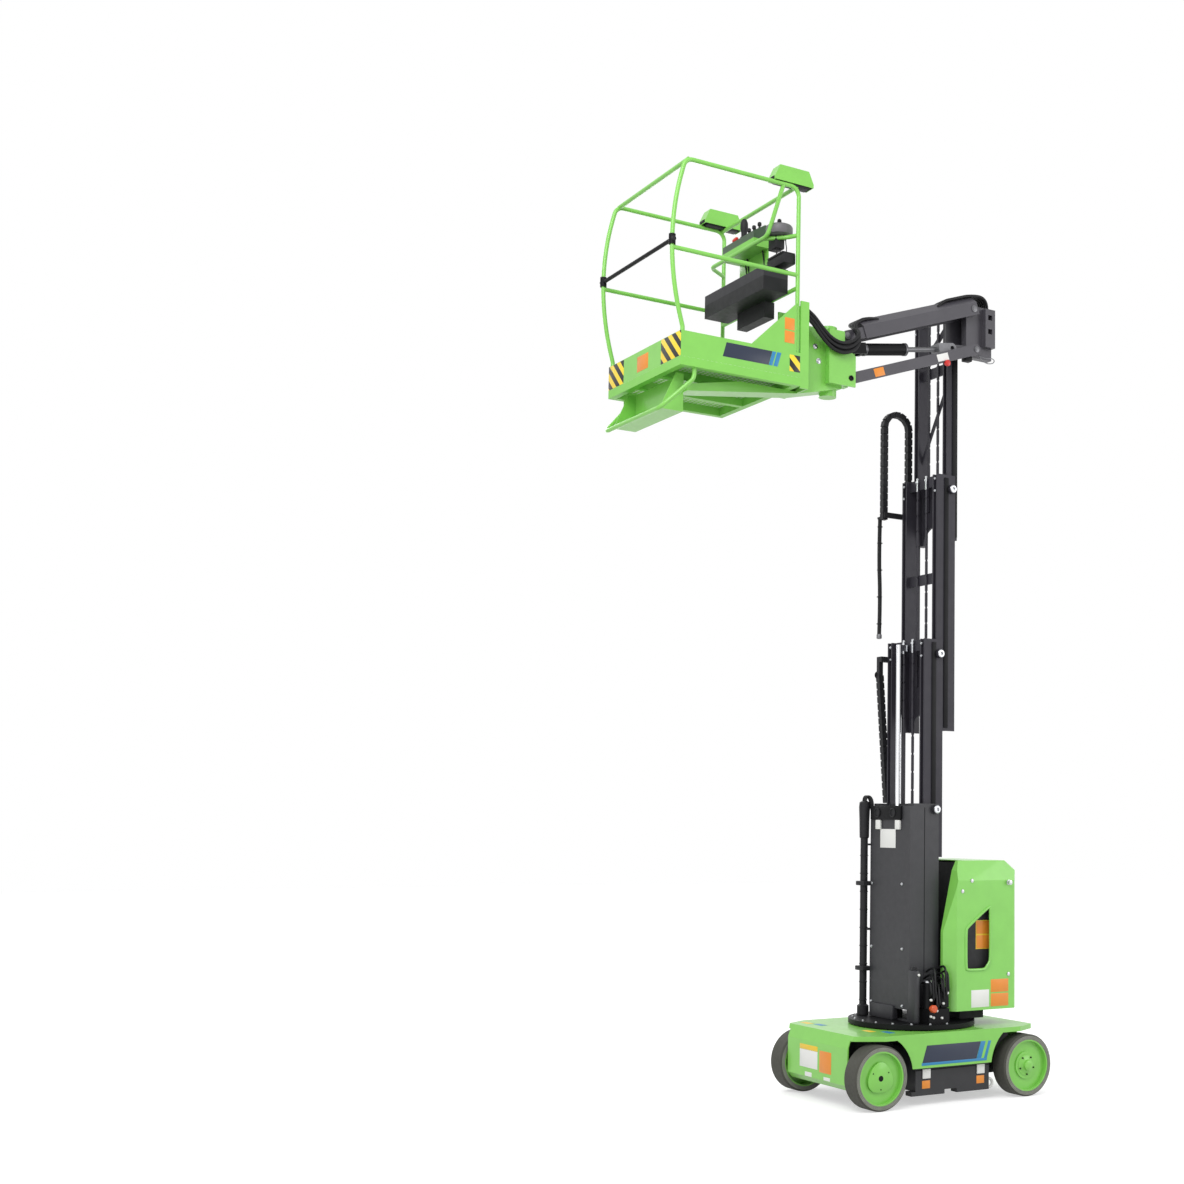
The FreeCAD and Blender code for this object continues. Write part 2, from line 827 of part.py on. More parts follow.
def hood_block(inset):
    """The hood's outer form, drawn in by a wall."""
    front = f"(hood_front - {inset})"
    rear = f"(hood_front - hood_length + {inset})"
    top = f"(hood_bottom + hood_height - {inset})"
    low = f"(hood_bottom - {inset})"
    half = f"(hood_half - {inset})"
    side = (
        (front, low),
        (front, "hood_bottom + hood_knee"),
        (f"{front} - hood_slant", f"{top} - hood_bevel"),
        (f"{front} - hood_slant - hood_bevel / 2", top),
        (f"{rear} + hood_bevel", top),
        (rear, f"{top} - hood_bevel"),
        (rear, low),
    )
    left = (
        (half, low),
        (half, f"{top} - 2 * hood_bevel"),
        (f"{half} - hood_bevel", top),
    )
    right = tuple((f"-({y})", z) for y, z in reversed(left))
    cheek = (
        (front, f"{half} - hood_cheek"),
        (f"{front} - hood_cheek", half),
        (f"{rear} + hood_bevel / 2", half),
        (rear, f"{half} - hood_bevel / 2"),
    )
    plan = cheek + tuple((x, f"-({y})") for x, y in reversed(cheek))
    return common(
        common(
            prism(side, "y", "-hood_half", "2 * hood_half"),
            prism(left + right, "x", "hood_front - hood_length", "hood_length"),
        ),
        prism(plan, "z", "hood_bottom - hood_wall", "hood_height + hood_wall"),
    )


def hood():
    """Moulded hood behind the mast with an arm along each side of it."""
    notch = block(
        ("hood_front - hood_notch", "hood_front + 1"),
        ("hood_arm - hood_half", "hood_half - hood_arm"),
        ("hood_bottom - 1", "hood_bottom + hood_height + 1"),
    )
    window = prism((
        ("window_front", "window_low"),
        ("window_front", "window_knee"),
        ("(window_front + window_rear) / 2", "(window_knee + window_high) / 2"),
        ("window_rear", "window_high"),
        ("window_rear", "window_low + window_corner"),
        ("window_rear + window_corner", "window_low"),
    ), "y", "-hood_half - 1", "2 * hood_half + 2")
    node("hood", cut(hood_block("0"), hood_block("hood_wall"), notch, window))


STAGES = (
    # Columns: name, steps inwards, back edge of the one outside it, ties and braces. Each tie or brace
    # gives the places of its two ends as shares of the length, which are equal for a level tie.
    ("first", 0, "base_back", ((1, 1),)),
    ("second", 1, "first_back", ((0.6, 0.6), (1, 1))),
    ("third", 2, "second_back", ((0.34, 0.7), (0.75, 0.75), (0.8, 0.96), (1, 1))),
)


def stage_half(step):
    """Half width of a stage that runs inside the one before."""
    return f"(base_half - base_wall - slide_gap - {step} * (rail_web + slide_gap))"


def lift_chain(x, y, low, high, count):
    """Leaf chain: a narrow strap with wider link plates along it."""
    half = "(lift_chain_width / 2)"
    strap = block(
        (x, f"{x} + lift_chain_depth"), (f"{y} - {half} / 2", f"{y} + {half} / 2"), (low, high),
    )
    pitch = f"(({high} - ({low})) / {count})"
    links = []
    for number in range(count):
        start = f"({low} + {pitch} * {number})"
        links.append(block(
            (x, f"{x} + lift_chain_depth"), (f"{y} - {half}", f"{y} + {half}"),
            (f"{start} + link_waist / 2", f"{start} + {pitch} - link_waist / 2"),
        ))
    return [strap, *links]


def stages():
    """Three sliding mast stages, each behind and inside the one before."""
    for name, step, outer_back, ties in STAGES:
        half = stage_half(step)
        front, back = f"{name}_front", f"{name}_back"
        low, length = f"{name}_bottom", f"{name}_length"
        rise = (low, f"{low} + {length}")
        rail = cut(
            block((f"{front} - rail_depth", front), (f"{half} - rail_width", half), rise),
            block(
                (f"{front} - groove_depth", f"{front} + 1"),
                (f"{half} - groove_edge - groove_width", f"{half} - groove_edge"),
                (f"{low} - 1", f"{low} + {length} + 1"),
            ),
        )
        web = block((f"-{back}", front), (f"{half} - rail_web", half), rise)
        pad = block(
            (f"pad_margin - {outer_back}", f"{front} - pad_margin"),
            (half, f"{half} + slide_gap - pad_gap"),
            (f"{low} + pad_margin", f"{low} + pad_height"),
        )
        parts = list(both_sides(fuse(rail, web, pad)))
        tie_x = (f"{front} - rail_depth / 2", f"{front} - rail_depth / 2 + tie_thick")
        inner = f"({half} - rail_width / 2)"
        for share, far_share in ties:
            level = f"({low} + {share} * ({length} - tie_height))"
            if share == far_share:
                parts.append(block(tie_x, (f"-{inner}", inner), (level, f"{level} + tie_height")))
                continue
            far = f"({low} + {far_share} * ({length} - tie_height))"
            parts.append(prism((
                (f"-{inner}", level),
                (inner, far),
                (inner, f"{far} + brace_height"),
                (f"-{inner}", f"{level} + brace_height"),
            ), "x", tie_x[0], "tie_thick"))
        panel = block(tie_x, (f"-{inner}", inner), (low, f"{low} + {name}_panel"))
        parts.append(cut(panel, rod(tie_x[0], "0", low, "x", "panel_arch", "tie_thick")))
        for side in (1, -1):
            parts += lift_chain(
                f"({tie_x[1]})", f"({side} * lift_chain_y)", f"({low} + {name}_panel / 2)",
                f"({low} + {length} - tie_height / 2)", round(size(length) / size("lift_link_run")),
            )
        if step < len(STAGES) - 1:
            parts.append(sheave(half, f"{front} - sheave_back", f"{low} + {length} - sheave_drop"))
        node(f"stage_{name}", fuse(*parts))


def hose_link(x, z, turn):
    """One link of the hose carrier, centred on its path."""
    half = "(link_run / 2 - link_waist / 4)"
    link = block(("-hose_half", "hose_half"), ("-hose_half", "hose_half"), (f"-{half}", half))
    return slope(link, turn, x, "hose_y", z)


def hose_carriers():
    """Link carriers for the hoses: a standing loop on the second stage and a slanting run on the first."""
    radius = "((hose_front - hose_back) / 2)"
    middle = "((hose_front + hose_back) / 2)"
    links = []
    # Columns: leg, its low end
    legs = (("hose_front", "hose_low"), ("hose_back", "hose_end"))
    bands = []
    for x, low in legs:
        count = round((size("hose_spring") - size(low)) / size("link_run"))
        pitch = f"((hose_spring - {low}) / {count})"
        links += [hose_link(x, f"{low} + {pitch} * ({number} + 1 / 2)", "0") for number in range(count)]
        bands.append(block(
            (f"{x} - hose_band", f"{x} + hose_band"),
            ("hose_y - hose_band", "hose_y + hose_band"),
            (low, "hose_spring"),
        ))
    arch = round(math.pi * (size("hose_front") - size("hose_back")) / 2 / size("link_run"))
    for number in range(arch):
        turn = f"(180 * ({number} + 1 / 2) / {arch})"
        links.append(hose_link(
            f"{middle} + {radius} * cos({turn})", f"hose_spring + {radius} * sin({turn})", f"-{turn}",
        ))
    ring = cut(
        rod(middle, "hose_y - hose_band", "hose_spring", "y", f"{radius} + hose_band", "2 * hose_band"),
        rod(middle, "hose_y - hose_band", "hose_spring", "y", f"{radius} - hose_band", "2 * hose_band"),
        block(
            (f"{middle} - 2 * {radius}", f"{middle} + 2 * {radius}"), ("2 * hose_y", "0"),
            (f"hose_spring - 2 * {radius}", "hose_spring"),
        ),
    )
    half = stage_half(1)
    outer = f"({stage_half(0)} + slide_gap)"
    reach = ("-second_back + pad_margin", "-first_back - slide_gap - pad_margin")
    feet = []
    for x, low in legs:
        level = f"({low} + link_waist)"
        rise = (level, f"{level} + tie_height / 2")
        feet.append(block(reach, (f"-{outer} - hose_arm", f"-{half}"), rise))
        feet.append(block((reach[0], f"{x} + hose_band"), (f"-{outer} - 2 * hose_arm", f"-{outer}"), rise))
    clamp = block(
        ("hose_front - hose_band", "hose_front + hose_band"),
        ("cord_y - cord_radius", f"-{outer}"),
        ("hose_low + link_waist", "hose_low + 2 * link_waist"),
    )
    cord = tube((
        ("hose_front", "cord_y", "hose_low + link_waist"),
        ("hose_front + cord_sway", "cord_y", "hose_low - (hose_low - cord_low) / 3"),
        ("hose_front - cord_sway", "cord_y", "cord_low + (hose_low - cord_low) / 3"),
        ("hose_front", "cord_y", "cord_low"),
    ), ("bow_radius", "bow_radius"), "cord_radius")
    node("hose_loop", fuse(ring, *bands, *links, *feet, clamp, cord))
    lean = "atan(ladder_lean / ladder_run)"
    ladder_top = "(first_bottom + first_length - ladder_drop)"
    ladder_arm = f"({ladder_top} + ladder_rise)"
    count = round(size("ladder_run") / size("link_run"))
    steps = []
    for number in range(count):
        share = f"(({number} + 1 / 2) / {count})"
        steps.append(hose_link(
            f"ladder_x - ladder_lean * {share}", f"{ladder_top} - ladder_run * {share}", lean,
        ))
    strap = block(("-hose_band", "hose_band"), ("-hose_band", "hose_band"), ("-ladder_run", "0"))
    arm = block(
        ("-rail_depth / 2", "ladder_x + hose_band"),
        ("hose_y", f"-{stage_half(0)}"),
        (f"{ladder_arm} - tie_height / 2", ladder_arm),
    )
    riser = block(
        ("ladder_x - hose_band", "ladder_x + hose_band"), ("hose_y - hose_band", "hose_y + hose_band"),
        (f"{ladder_top} - link_run", ladder_arm),
    )
    node("hose_ladder", fuse(slope(strap, lean, "ladder_x", "hose_y", ladder_top), arm, riser, *steps))


JIB_ANGLE = "atan(jib_drop / jib_reach)"
JIB_LENGTH = "(sqrt(jib_reach * jib_reach + jib_drop * jib_drop))"
HALF_JIB = "(jib_width / 2)"
BEAM_END = ("(jib_x + jib_reach)", "(jib_z - jib_drop)")
LINK_ROOT_Z = "(jib_z - jib_spread)"
LINK_END_Z = f"({BEAM_END[1]} - jib_spread)"
LINK_Y = f"(jib_y + {HALF_JIB} + side_gap)"
NEAR_PLATE_Y = f"({LINK_Y} + link_thick + side_gap)"
EYE = (f"({BEAM_END[0]} + eye_x)", f"({LINK_END_Z} + eye_z)")
LUG = ("(jib_x + rod_lug_x)", "(jib_z + rod_lug_z)")
POST_FACE = "(jib_x - lug_radius - post_gap)"


def pin(x, z, start, end):
    """Pin across the jib between two places on y."""
    return rod(x, start, z, "y", "pin_radius", f"({end}) - ({start})")


def bore(x, z, start, end):
    """Hole for a pin, with running room."""
    return rod(x, start, z, "y", "pin_radius + pin_gap", f"({end}) - ({start})")


def jib_head():
    """Bracket on the last stage that carries the jib's pins."""
    post_rise = ("post_bottom", "post_bottom + post_height")
    plate_outer = "(plate_inner + plate_wall)"
    post = block((f"{POST_FACE} - post_depth", POST_FACE), (plate_outer, f"jib_y + {HALF_JIB}"), post_rise)
    plate = block(
        (f"{POST_FACE} - post_depth", f"{POST_FACE} - post_depth + plate_length"),
        ("plate_inner", plate_outer),
        post_rise,
    )
    spacer_top = "(post_bottom + post_height - spacer_drop)"
    spacer = block(
        ("third_front - rail_depth", "third_front"),
        (stage_half(2), "plate_inner"),
        (f"{spacer_top} - spacer_height", spacer_top),
    )
    jaw = prism((
        (POST_FACE, f"{LINK_ROOT_Z} - lug_radius"),
        (f"{LUG[0]} + lug_radius", f"{LUG[1]} - lug_radius"),
        (f"{LUG[0]} + lug_radius", f"{LUG[1]} + lug_radius"),
        (f"{LUG[0]} - lug_radius", f"{LUG[1]} + lug_radius"),
        ("jib_x + lug_radius", f"{LINK_ROOT_Z} + lug_radius"),
        ("jib_x + lug_radius", "jib_z + lug_radius"),
        (POST_FACE, "jib_z + lug_radius"),
    ), "y", "jib_y - lug_half", "2 * lug_half")
    jaw_foot = block(
        (f"{POST_FACE} - post_depth", POST_FACE),
        ("jib_y - lug_half", "jib_y + lug_half"),
        (f"{LINK_ROOT_Z} - lug_radius", "jib_z + lug_radius"),
    )
    beam_pin = pin("jib_x", "jib_z", f"jib_y - {HALF_JIB}", f"jib_y + {HALF_JIB}")
    link_pin = pin("jib_x", LINK_ROOT_Z, "jib_y", f"{LINK_Y} + link_thick")
    head = fuse(post, plate, spacer, jaw, jaw_foot, beam_pin, link_pin)
    hole_x = f"({POST_FACE} - post_depth + post_hole_inset)"
    holes = []
    for number in (0, 1):
        top = f"(post_bottom + post_height - post_hole_drop + post_hole / 2 - {number} * post_hole_pitch)"
        holes.append(block(
            (hole_x, f"{hole_x} + post_hole"),
            (f"jib_y + {HALF_JIB} - post_hole_depth", f"jib_y + {HALF_JIB} + 1"),
            (f"{top} - post_hole", top),
        ))
    node("jib_head", cut(head, *holes))


def jib_beam():
    """Folded channel, open below, with a tongue each side of the basket's pin."""
    knee = "jib_side / 2"
    crown = "jib_side / 2 + jib_bevel"
    fold = "jib_wall * tan(jib_fold / 2)"
    left = (
        (f"-{HALF_JIB}", f"-{knee}"),
        (f"-{HALF_JIB}", knee),
        (f"jib_bevel - {HALF_JIB}", crown),
    )
    inner = (
        (f"jib_bevel + {fold} - {HALF_JIB}", f"{crown} - jib_wall"),
        (f"jib_wall - {HALF_JIB}", f"{knee} - {fold}"),
        (f"jib_wall - {HALF_JIB}", f"-{knee}"),
    )
    right = tuple((f"-({y})", z) for y, z in reversed(left))
    inner_right = tuple((f"-({y})", z) for y, z in reversed(inner))
    channel = prism(
        left + right + inner_right + inner, "x", "-lug_radius", f"{JIB_LENGTH} - tongue_show + lug_radius",
    )
    tongue_y = f"({HALF_JIB} - jib_wall - tongue_wall)"
    tongue = fuse(
        box(
            f"{JIB_LENGTH} - tongue_show - tongue_root", tongue_y, "-lug_radius",
            "tongue_show + tongue_root", "tongue_wall", "2 * lug_radius",
        ),
        rod(JIB_LENGTH, tongue_y, "0", "y", "lug_radius", "tongue_wall"),
    )
    holes = [bore(along, "0", f"-{HALF_JIB} - 1", f"{HALF_JIB} + 1") for along in ("0", JIB_LENGTH)]
    beam = cut(fuse(channel, *both_sides(tongue)), *holes)
    node("jib_beam", slope(beam, JIB_ANGLE, "jib_x", "jib_y", "jib_z"))


def jib_link():
    """Flat bar that keeps the basket level."""
    bar = box("0", "0", "-lug_radius", JIB_LENGTH, "link_thick", "2 * lug_radius")
    ends = [rod(along, "0", "0", "y", "lug_radius", "link_thick") for along in ("0", JIB_LENGTH)]
    holes = [bore(along, "0", "-1", "link_thick + 1") for along in ("0", JIB_LENGTH)]
    link = cut(fuse(bar, *ends), *holes)
    node("jib_link", slope(link, JIB_ANGLE, "jib_x", LINK_Y, LINK_ROOT_Z))


def fork(sign, run):
    """Two ears and their block at one end of the jib's cylinder."""
    inner = "(lug_half + side_gap)"
    outer = f"({inner} + ear_wall)"
    eye = f"({run})"
    near = f"({eye} + {sign} * ear_reach)"
    far = f"({near} + {sign} * ear_block)"
    low, high = (near, eye) if sign == "-1" else (eye, near)
    ear = fuse(
        block((low, high), (inner, outer), ("-lug_radius", "lug_radius")),
        rod(eye, inner, "0", "y", "lug_radius", "ear_wall"),
    )
    low, high = (far, near) if sign == "-1" else (near, far)
    root = block((low, high), (f"-{outer}", outer), ("-lug_radius", "lug_radius"))
    return cut(fuse(root, *both_sides(ear)), bore(eye, "0", f"-{outer} - 1", f"{outer} + 1"))


def jib_cylinder():
    """Cylinder from the basket's bracket back to the head."""
    back = f"({EYE[0]} - {LUG[0]})"
    rise = f"({LUG[1]} - {EYE[1]})"
    run = f"(sqrt({back} * {back} + {rise} * {rise}))"
    tilt = f"atan({rise} / {back})"
    start = "(ear_reach + ear_block)"
    end = f"({start} + jib_barrel_length)"
    barrel = cut(
        fuse(fork("-1", "0"), rod(f"-{end}", "0", "0", "x", "jib_barrel_radius", f"{end} - {start}")),
        rod(f"-{end} - 1", "0", "0", "x", "jib_rod_radius + rod_gap", "jib_barrel_length - rod_gap"),
    )
    node("jib_cylinder", slope(barrel, tilt, EYE[0], "jib_y", EYE[1]))
    foot = f"({end} - jib_rod_cover)"
    far = f"({run} - {start})"
    piston = fuse(
        fork("1", f"-{run}"),
        rod(f"-{far}", "0", "0", "x", "jib_rod_radius", f"{far} - {end} + jib_rod_cover * 2"),
    )
    node("jib_rod", slope(piston, tilt, EYE[0], "jib_y", EYE[1]))


FLOOR_TOP = "(basket_bottom + floor_thick)"
RAIL_TOP = "(basket_bottom + basket_height - rail_radius)"
RAIL_Y = "(basket_half - toe_wall - rail_radius)"
REAR_POST = "(basket_rear + toe_wall + rail_radius)"
BASKET_FRONT = "(basket_rear + basket_length)"
FRONT_POST = f"({BASKET_FRONT} - toe_wall - rail_radius)"
FRAME_LOW = "(basket_bottom - floor_frame)"
TOE_TOP = "(basket_bottom + toe_height)"
BOW_LOW = f"({TOE_TOP} + bow_start)"
BOW_Z = f"(({RAIL_TOP} + {BOW_LOW}) / 2)"
BOW_SLOPE = f"atan(bow_push / ({RAIL_TOP} - {BOW_Z}))"
BOW_X = f"({FRONT_POST} + bow_push - bow_radius * (1 / cos({BOW_SLOPE}) - 1))"
MID_RAIL = f"({RAIL_TOP} - mid_rail_drop)"
REAR_RAIL = f"({RAIL_TOP} - rear_rail_drop)"


def basket_mount():
    """Bracket with the jib's lower pins, channel and arm under the floor."""
    lug = prism((
        (f"{EYE[0]} - lug_radius", f"{EYE[1]} - lug_radius"),
        (f"{BEAM_END[0]} - lug_radius", f"{LINK_END_Z} + lug_radius"),
        (f"{BEAM_END[0]} - lug_radius", f"{LINK_END_Z} - lug_radius"),
        ("mount_back", f"{LINK_END_Z} - lug_radius"),
        ("mount_back", f"{BEAM_END[1]} + lug_radius"),
        (f"{BEAM_END[0]} - lug_radius", f"{BEAM_END[1]} + lug_radius"),
        (f"{EYE[0]} - lug_radius", f"{EYE[1]} + lug_radius"),
    ), "y", "jib_y - lug_half", "2 * lug_half")
    plate_outer = f"({NEAR_PLATE_Y} + mount_plate)"
    inner = f"(jib_y - {HALF_JIB})"
    near_plate = prism((
        (f"{BEAM_END[0]} - lug_radius", "mount_low"),
        ("mount_front", "mount_low"),
        ("mount_front", "mount_high"),
        (f"{BEAM_END[0]} - lug_radius", f"{LINK_END_Z} + jib_spread / 2"),
    ), "y", NEAR_PLATE_Y, "mount_plate")
    joint = f"(jib_y + {HALF_JIB})"
    body = block(("mount_back", "mount_front"), (inner, NEAR_PLATE_Y), ("mount_low", "mount_high"))
    neck = block(("mount_front", "basket_rear - channel_depth"), (inner, joint), ("mount_low", "mount_high"))
    channel_x = ("basket_rear - channel_depth", "basket_rear")
    channel_rise = ("channel_low", "channel_high")
    channel = cut(
        block(channel_x, ("channel_inner", "basket_half"), channel_rise),
        block(
            ("basket_rear - channel_depth + channel_wall", "basket_rear + 1"),
            ("channel_inner + channel_wall", "basket_half - channel_wall"),
            ("channel_low - 1", "channel_high + 1"),
        ),
    )
    arm = prism((
        ("mount_back", "mount_low + 1"),
        ("mount_back", "mount_low - mount_plate"),
        ("basket_rear - channel_depth", "channel_low"),
        ("step_x", "arm_low"),
        ("step_x", "arm_high"),
        ("(basket_rear + step_x) / 2", FRAME_LOW),
        ("basket_rear - channel_depth", FRAME_LOW),
        ("basket_rear - channel_depth", "mount_low + 1"),
    ), "y", inner, "jib_width")
    pins = (
        pin(BEAM_END[0], BEAM_END[1], f"jib_y - {HALF_JIB}", joint),
        pin(BEAM_END[0], LINK_END_Z, "jib_y", plate_outer),
        pin(*EYE, "jib_y - lug_half - side_gap - ear_wall", "jib_y + lug_half + side_gap + ear_wall"),
    )
    rotor = rod(
        "(mount_back + mount_front) / 2", "jib_y", "mount_low - rotor_foot", "z",
        "rotor_radius", "mount_high - mount_low + rotor_foot + rotor_cap",
    )
    node("basket_mount", fuse(lug, near_plate, body, neck, channel, arm, rotor, *pins))


def basket_floor():
    """Floor plate on its frame."""
    sheet_metal = block(
        ("basket_rear + toe_wall", f"{BASKET_FRONT} - toe_wall"),
        ("toe_wall - basket_half", "basket_half - toe_wall"),
        ("basket_bottom", FLOOR_TOP),
    )
    ring = cut(
        block(("basket_rear", BASKET_FRONT), ("-basket_half", "basket_half"), (FRAME_LOW, "basket_bottom")),
        block(
            ("basket_rear + floor_rail", f"{BASKET_FRONT} - floor_rail"),
            ("floor_rail - basket_half", "basket_half - floor_rail"),
            (f"{FRAME_LOW} - 1", "basket_bottom + 1"),
        ),
    )
    runners = []
    for side in (1, -1):
        y = f"({side} * basket_half / 3)"
        runners.append(block(
            ("basket_rear + floor_rail", f"{BASKET_FRONT} - floor_rail"),
            (f"{y} - floor_rail / 2", f"{y} + floor_rail / 2"),
            (FRAME_LOW, "basket_bottom"),
        ))
    node("basket_floor", fuse(sheet_metal, ring, *runners))


def toe_boards():
    """Board round the floor and the gusset behind the rear post."""
    boards = cut(
        block(("basket_rear", BASKET_FRONT), ("-basket_half", "basket_half"), ("basket_bottom", TOE_TOP)),
        block(
            ("basket_rear + toe_wall", f"{BASKET_FRONT} - toe_wall"),
            ("toe_wall - basket_half", "basket_half - toe_wall"),
            ("basket_bottom - 1", f"{TOE_TOP} + 1"),
        ),
    )
    gusset = prism((
        (f"{REAR_POST} + rail_radius", TOE_TOP),
        (f"{REAR_POST} + gusset_length", TOE_TOP),
        (f"{REAR_POST} + rail_radius", f"{TOE_TOP} + gusset_height"),
    ), "y", "basket_half - toe_wall", "toe_wall")
    node("toe_boards", fuse(boards, gusset))


def basket_rails():
    """Side loops with bowed front posts, cross rails and the console's hoop."""
    loop = tube((
        (REAR_POST, RAIL_Y, FLOOR_TOP),
        (REAR_POST, RAIL_Y, RAIL_TOP),
        (FRONT_POST, RAIL_Y, RAIL_TOP),
        (f"{FRONT_POST} + bow_push", RAIL_Y, BOW_Z),
        (FRONT_POST, RAIL_Y, BOW_LOW),
        (FRONT_POST, RAIL_Y, FLOOR_TOP),
    ), ("rail_bend", "rail_bend", "bow_radius", "rail_bend"), "rail_radius")
    side_rail = rod(REAR_POST, RAIL_Y, MID_RAIL, "x", "rail_radius", f"{BOW_X} - {REAR_POST}")
    sides = both_sides(fuse(loop, side_rail))
    drop = "(rail_bend * (1 - cos(rail_turn / 2)))"
    cross = []
    for x, z in (
        (f"({REAR_POST} + {drop})", RAIL_TOP),
        (f"({FRONT_POST} - {drop})", RAIL_TOP),
        (REAR_POST, REAR_RAIL),
    ):
        cross.append(rod(x, f"-{RAIL_Y}", z, "y", "rail_radius", f"2 * {RAIL_Y}"))
    guard_z = f"({RAIL_TOP} - guard_drop)"
    guard_x = f"({REAR_POST} + guard_reach)"
    guard_y = f"({RAIL_Y} - guard_side)"
    guard = tube((
        (REAR_POST, f"-{RAIL_Y}", guard_z),
        (guard_x, f"guard_side_out - {RAIL_Y}", guard_z),
        (guard_x, guard_y, guard_z),
        (f"{guard_x} - guard_side / 3", RAIL_Y, RAIL_TOP),
    ), ("rail_bend", "rail_bend"), "rail_radius")
    brace = tube((
        (guard_x, f"{guard_y} - rail_bend", guard_z),
        (f"{guard_x} - guard_side", f"{RAIL_Y} - guard_side / 2", guard_z),
        (REAR_POST, RAIL_Y, guard_z),
    ), ("rail_bend",), "rail_radius")
    node("basket_rails", fuse(*sides, *cross, guard, brace))


def entry_step():
    """Scoop-shaped step below the front edge with its round hoop."""
    top = f"({FRAME_LOW})"
    outside = (
        ("step_x", "step_foot"),
        ("step_x + step_length", "step_foot"),
        ("step_x + step_length", "step_foot + step_lip"),
        ("step_x + step_top", top),
        ("step_x", top),
    )
    hollow = (
        ("step_x + step_wall", "step_foot + step_wall"),
        ("step_x + step_length + 1", "step_foot + step_wall"),
        ("step_x + step_length + 1", f"{top} + 1"),
        ("step_x + step_wall", f"{top} + 1"),
    )
    scoop = cut(
        prism(outside, "y", "-step_half", "2 * step_half"),
        prism(hollow, "y", "step_wall - step_half", "2 * step_half - 2 * step_wall"),
    )
    left = (
        ("step_x + step_wall", "hoop_root", top),
        ("step_x + step_wall", "hoop_root", f"{top} - hoop_knee"),
        ("hoop_x", "hoop_half", "hoop_z"),
    )
    right = tuple((x, f"-({y})", z) for x, y, z in reversed(left))
    bends = ("rail_bend",) * 4
    node("entry_step", scoop)
    node("step_hoop", tube(left + right, bends, "rail_radius"))


def visor_side(wall):
    """The visor's outline from the side, drawn in by a wall."""
    rear = f"(visor_x + {wall})"
    front = f"(visor_x + visor_length - {wall})"
    base = f"({RAIL_TOP} + rail_radius)"
    top = f"({base} + visor_height - {wall})"
    return (
        (rear, base),
        (front, base),
        (front, f"{base} + visor_sill"),
        (f"{front} - visor_slant", top),
        (f"{rear} + visor_slant", top),
        (rear, f"{base} + visor_sill"),
    )


def controls():
    """Console, tool tray, lamp visors and cable box at the rear rail."""
    console_top = f"({RAIL_TOP} - console_top)"
    console_end = "(console_x + console_length)"
    console = prism((
        ("console_x", f"{console_top} - console_height"),
        (f"{console_end}", f"{console_top} - console_height"),
        (f"{console_end}", f"{console_top} - console_height / 3"),
        (f"console_x + console_length / 3", console_top),
        ("console_x", console_top),
    ), "y", "console_y", "console_width")
    drum = rod("drum_x", "drum_y", "drum_foot", "z", "drum_radius", "drum_height")
    node("control_box", console, drum)
    tray_x = f"({REAR_POST} + rail_radius)"
    tray_z = f"({REAR_RAIL} - rail_radius)"
    tray = cut(
        box(tray_x, "-tray_half", tray_z, "tray_length", "2 * tray_half", "tray_height"),
        box(
            f"{tray_x} + tray_wall", "tray_wall - tray_half", f"{tray_z} + tray_wall",
            "tray_length - 2 * tray_wall", "2 * tray_half - 2 * tray_wall", "tray_height",
        ),
    )
    node("tool_tray", tray)
    inner = "(basket_half - visor_width)"
    visor = cut(
        prism(visor_side("0"), "y", inner, "visor_width"),
        prism(visor_side("toe_wall"), "y", f"{inner} + toe_wall", "visor_width - 2 * toe_wall"),
    )
    node("lamp_visors", *both_sides(visor))
    node("cable_box", box(
        f"{REAR_POST} - rail_radius", "-cable_width / 2", f"{tray_z} - cable_height",
        "cable_length", "cable_width", "cable_height",
    ))


def gate():
    """Bar that slides up the bowed posts on two sleeves."""
    rest = f"({MID_RAIL} + rail_radius + seat_gap + sleeve_length / 2)"
    swing = f"({BOW_X} - bow_radius)"
    level = f"({rest} - {BOW_Z})"
    x = f"({swing} + sqrt(bow_radius * bow_radius - {level} * {level}))"
    inner = "(rail_radius + sleeve_gap)"
    outer = f"({inner} + sleeve_wall)"
    low = f"({rest} - sleeve_length / 2)"
    sleeve = rod(x, RAIL_Y, low, "z", outer, "sleeve_length")
    hole = rod(x, RAIL_Y, f"{low} - 1", "z", inner, "sleeve_length + 2")
    bar = rod(x, f"-{RAIL_Y}", rest, "y", "gate_radius", f"2 * {RAIL_Y}")
    node("gate_bar", cut(fuse(bar, *both_sides(sleeve)), *both_sides(hole)))


def check(item):
    """Stop on a failed object or an empty or broken shape."""
    if {"Invalid", "Error"} & set(item.State):
        raise RuntimeError(f"{item.Label} failed")


def main():
    """Build every sub-part, check it and write its file."""
    for make in (
        frame, axles, cover, bearing, wheels, knuckles, turntable, lift, services, hood, stages,
        hose_carriers, jib_head, jib_beam, jib_link, jib_cylinder, basket_mount, basket_floor, toe_boards,
        basket_rails, entry_step, controls, gate,
    ):
        make()
    doc.recompute()
    for item in doc.Objects:
        check(item)
    for piece in nodes:
        shape = piece.Shape
        if shape.isNull() or not shape.isValid() or not shape.Solids:
            raise RuntimeError(f"{piece.Label} has no valid shape")
        shape.exportStep(f"parts/{piece.Label}.step")
        print(piece.Label, len(shape.Solids), *(round(v) for v in (
            shape.BoundBox.XMin, shape.BoundBox.XMax, shape.BoundBox.YMin,
            shape.BoundBox.YMax, shape.BoundBox.ZMin, shape.BoundBox.ZMax,
        )))


main()
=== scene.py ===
"""Vertical mast lift: finishes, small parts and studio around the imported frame."""

import json
import logging
import math
from dataclasses import dataclass, replace
from enum import Enum
from typing import Iterable, Sequence

import bpy
from mathutils import Matrix, Vector


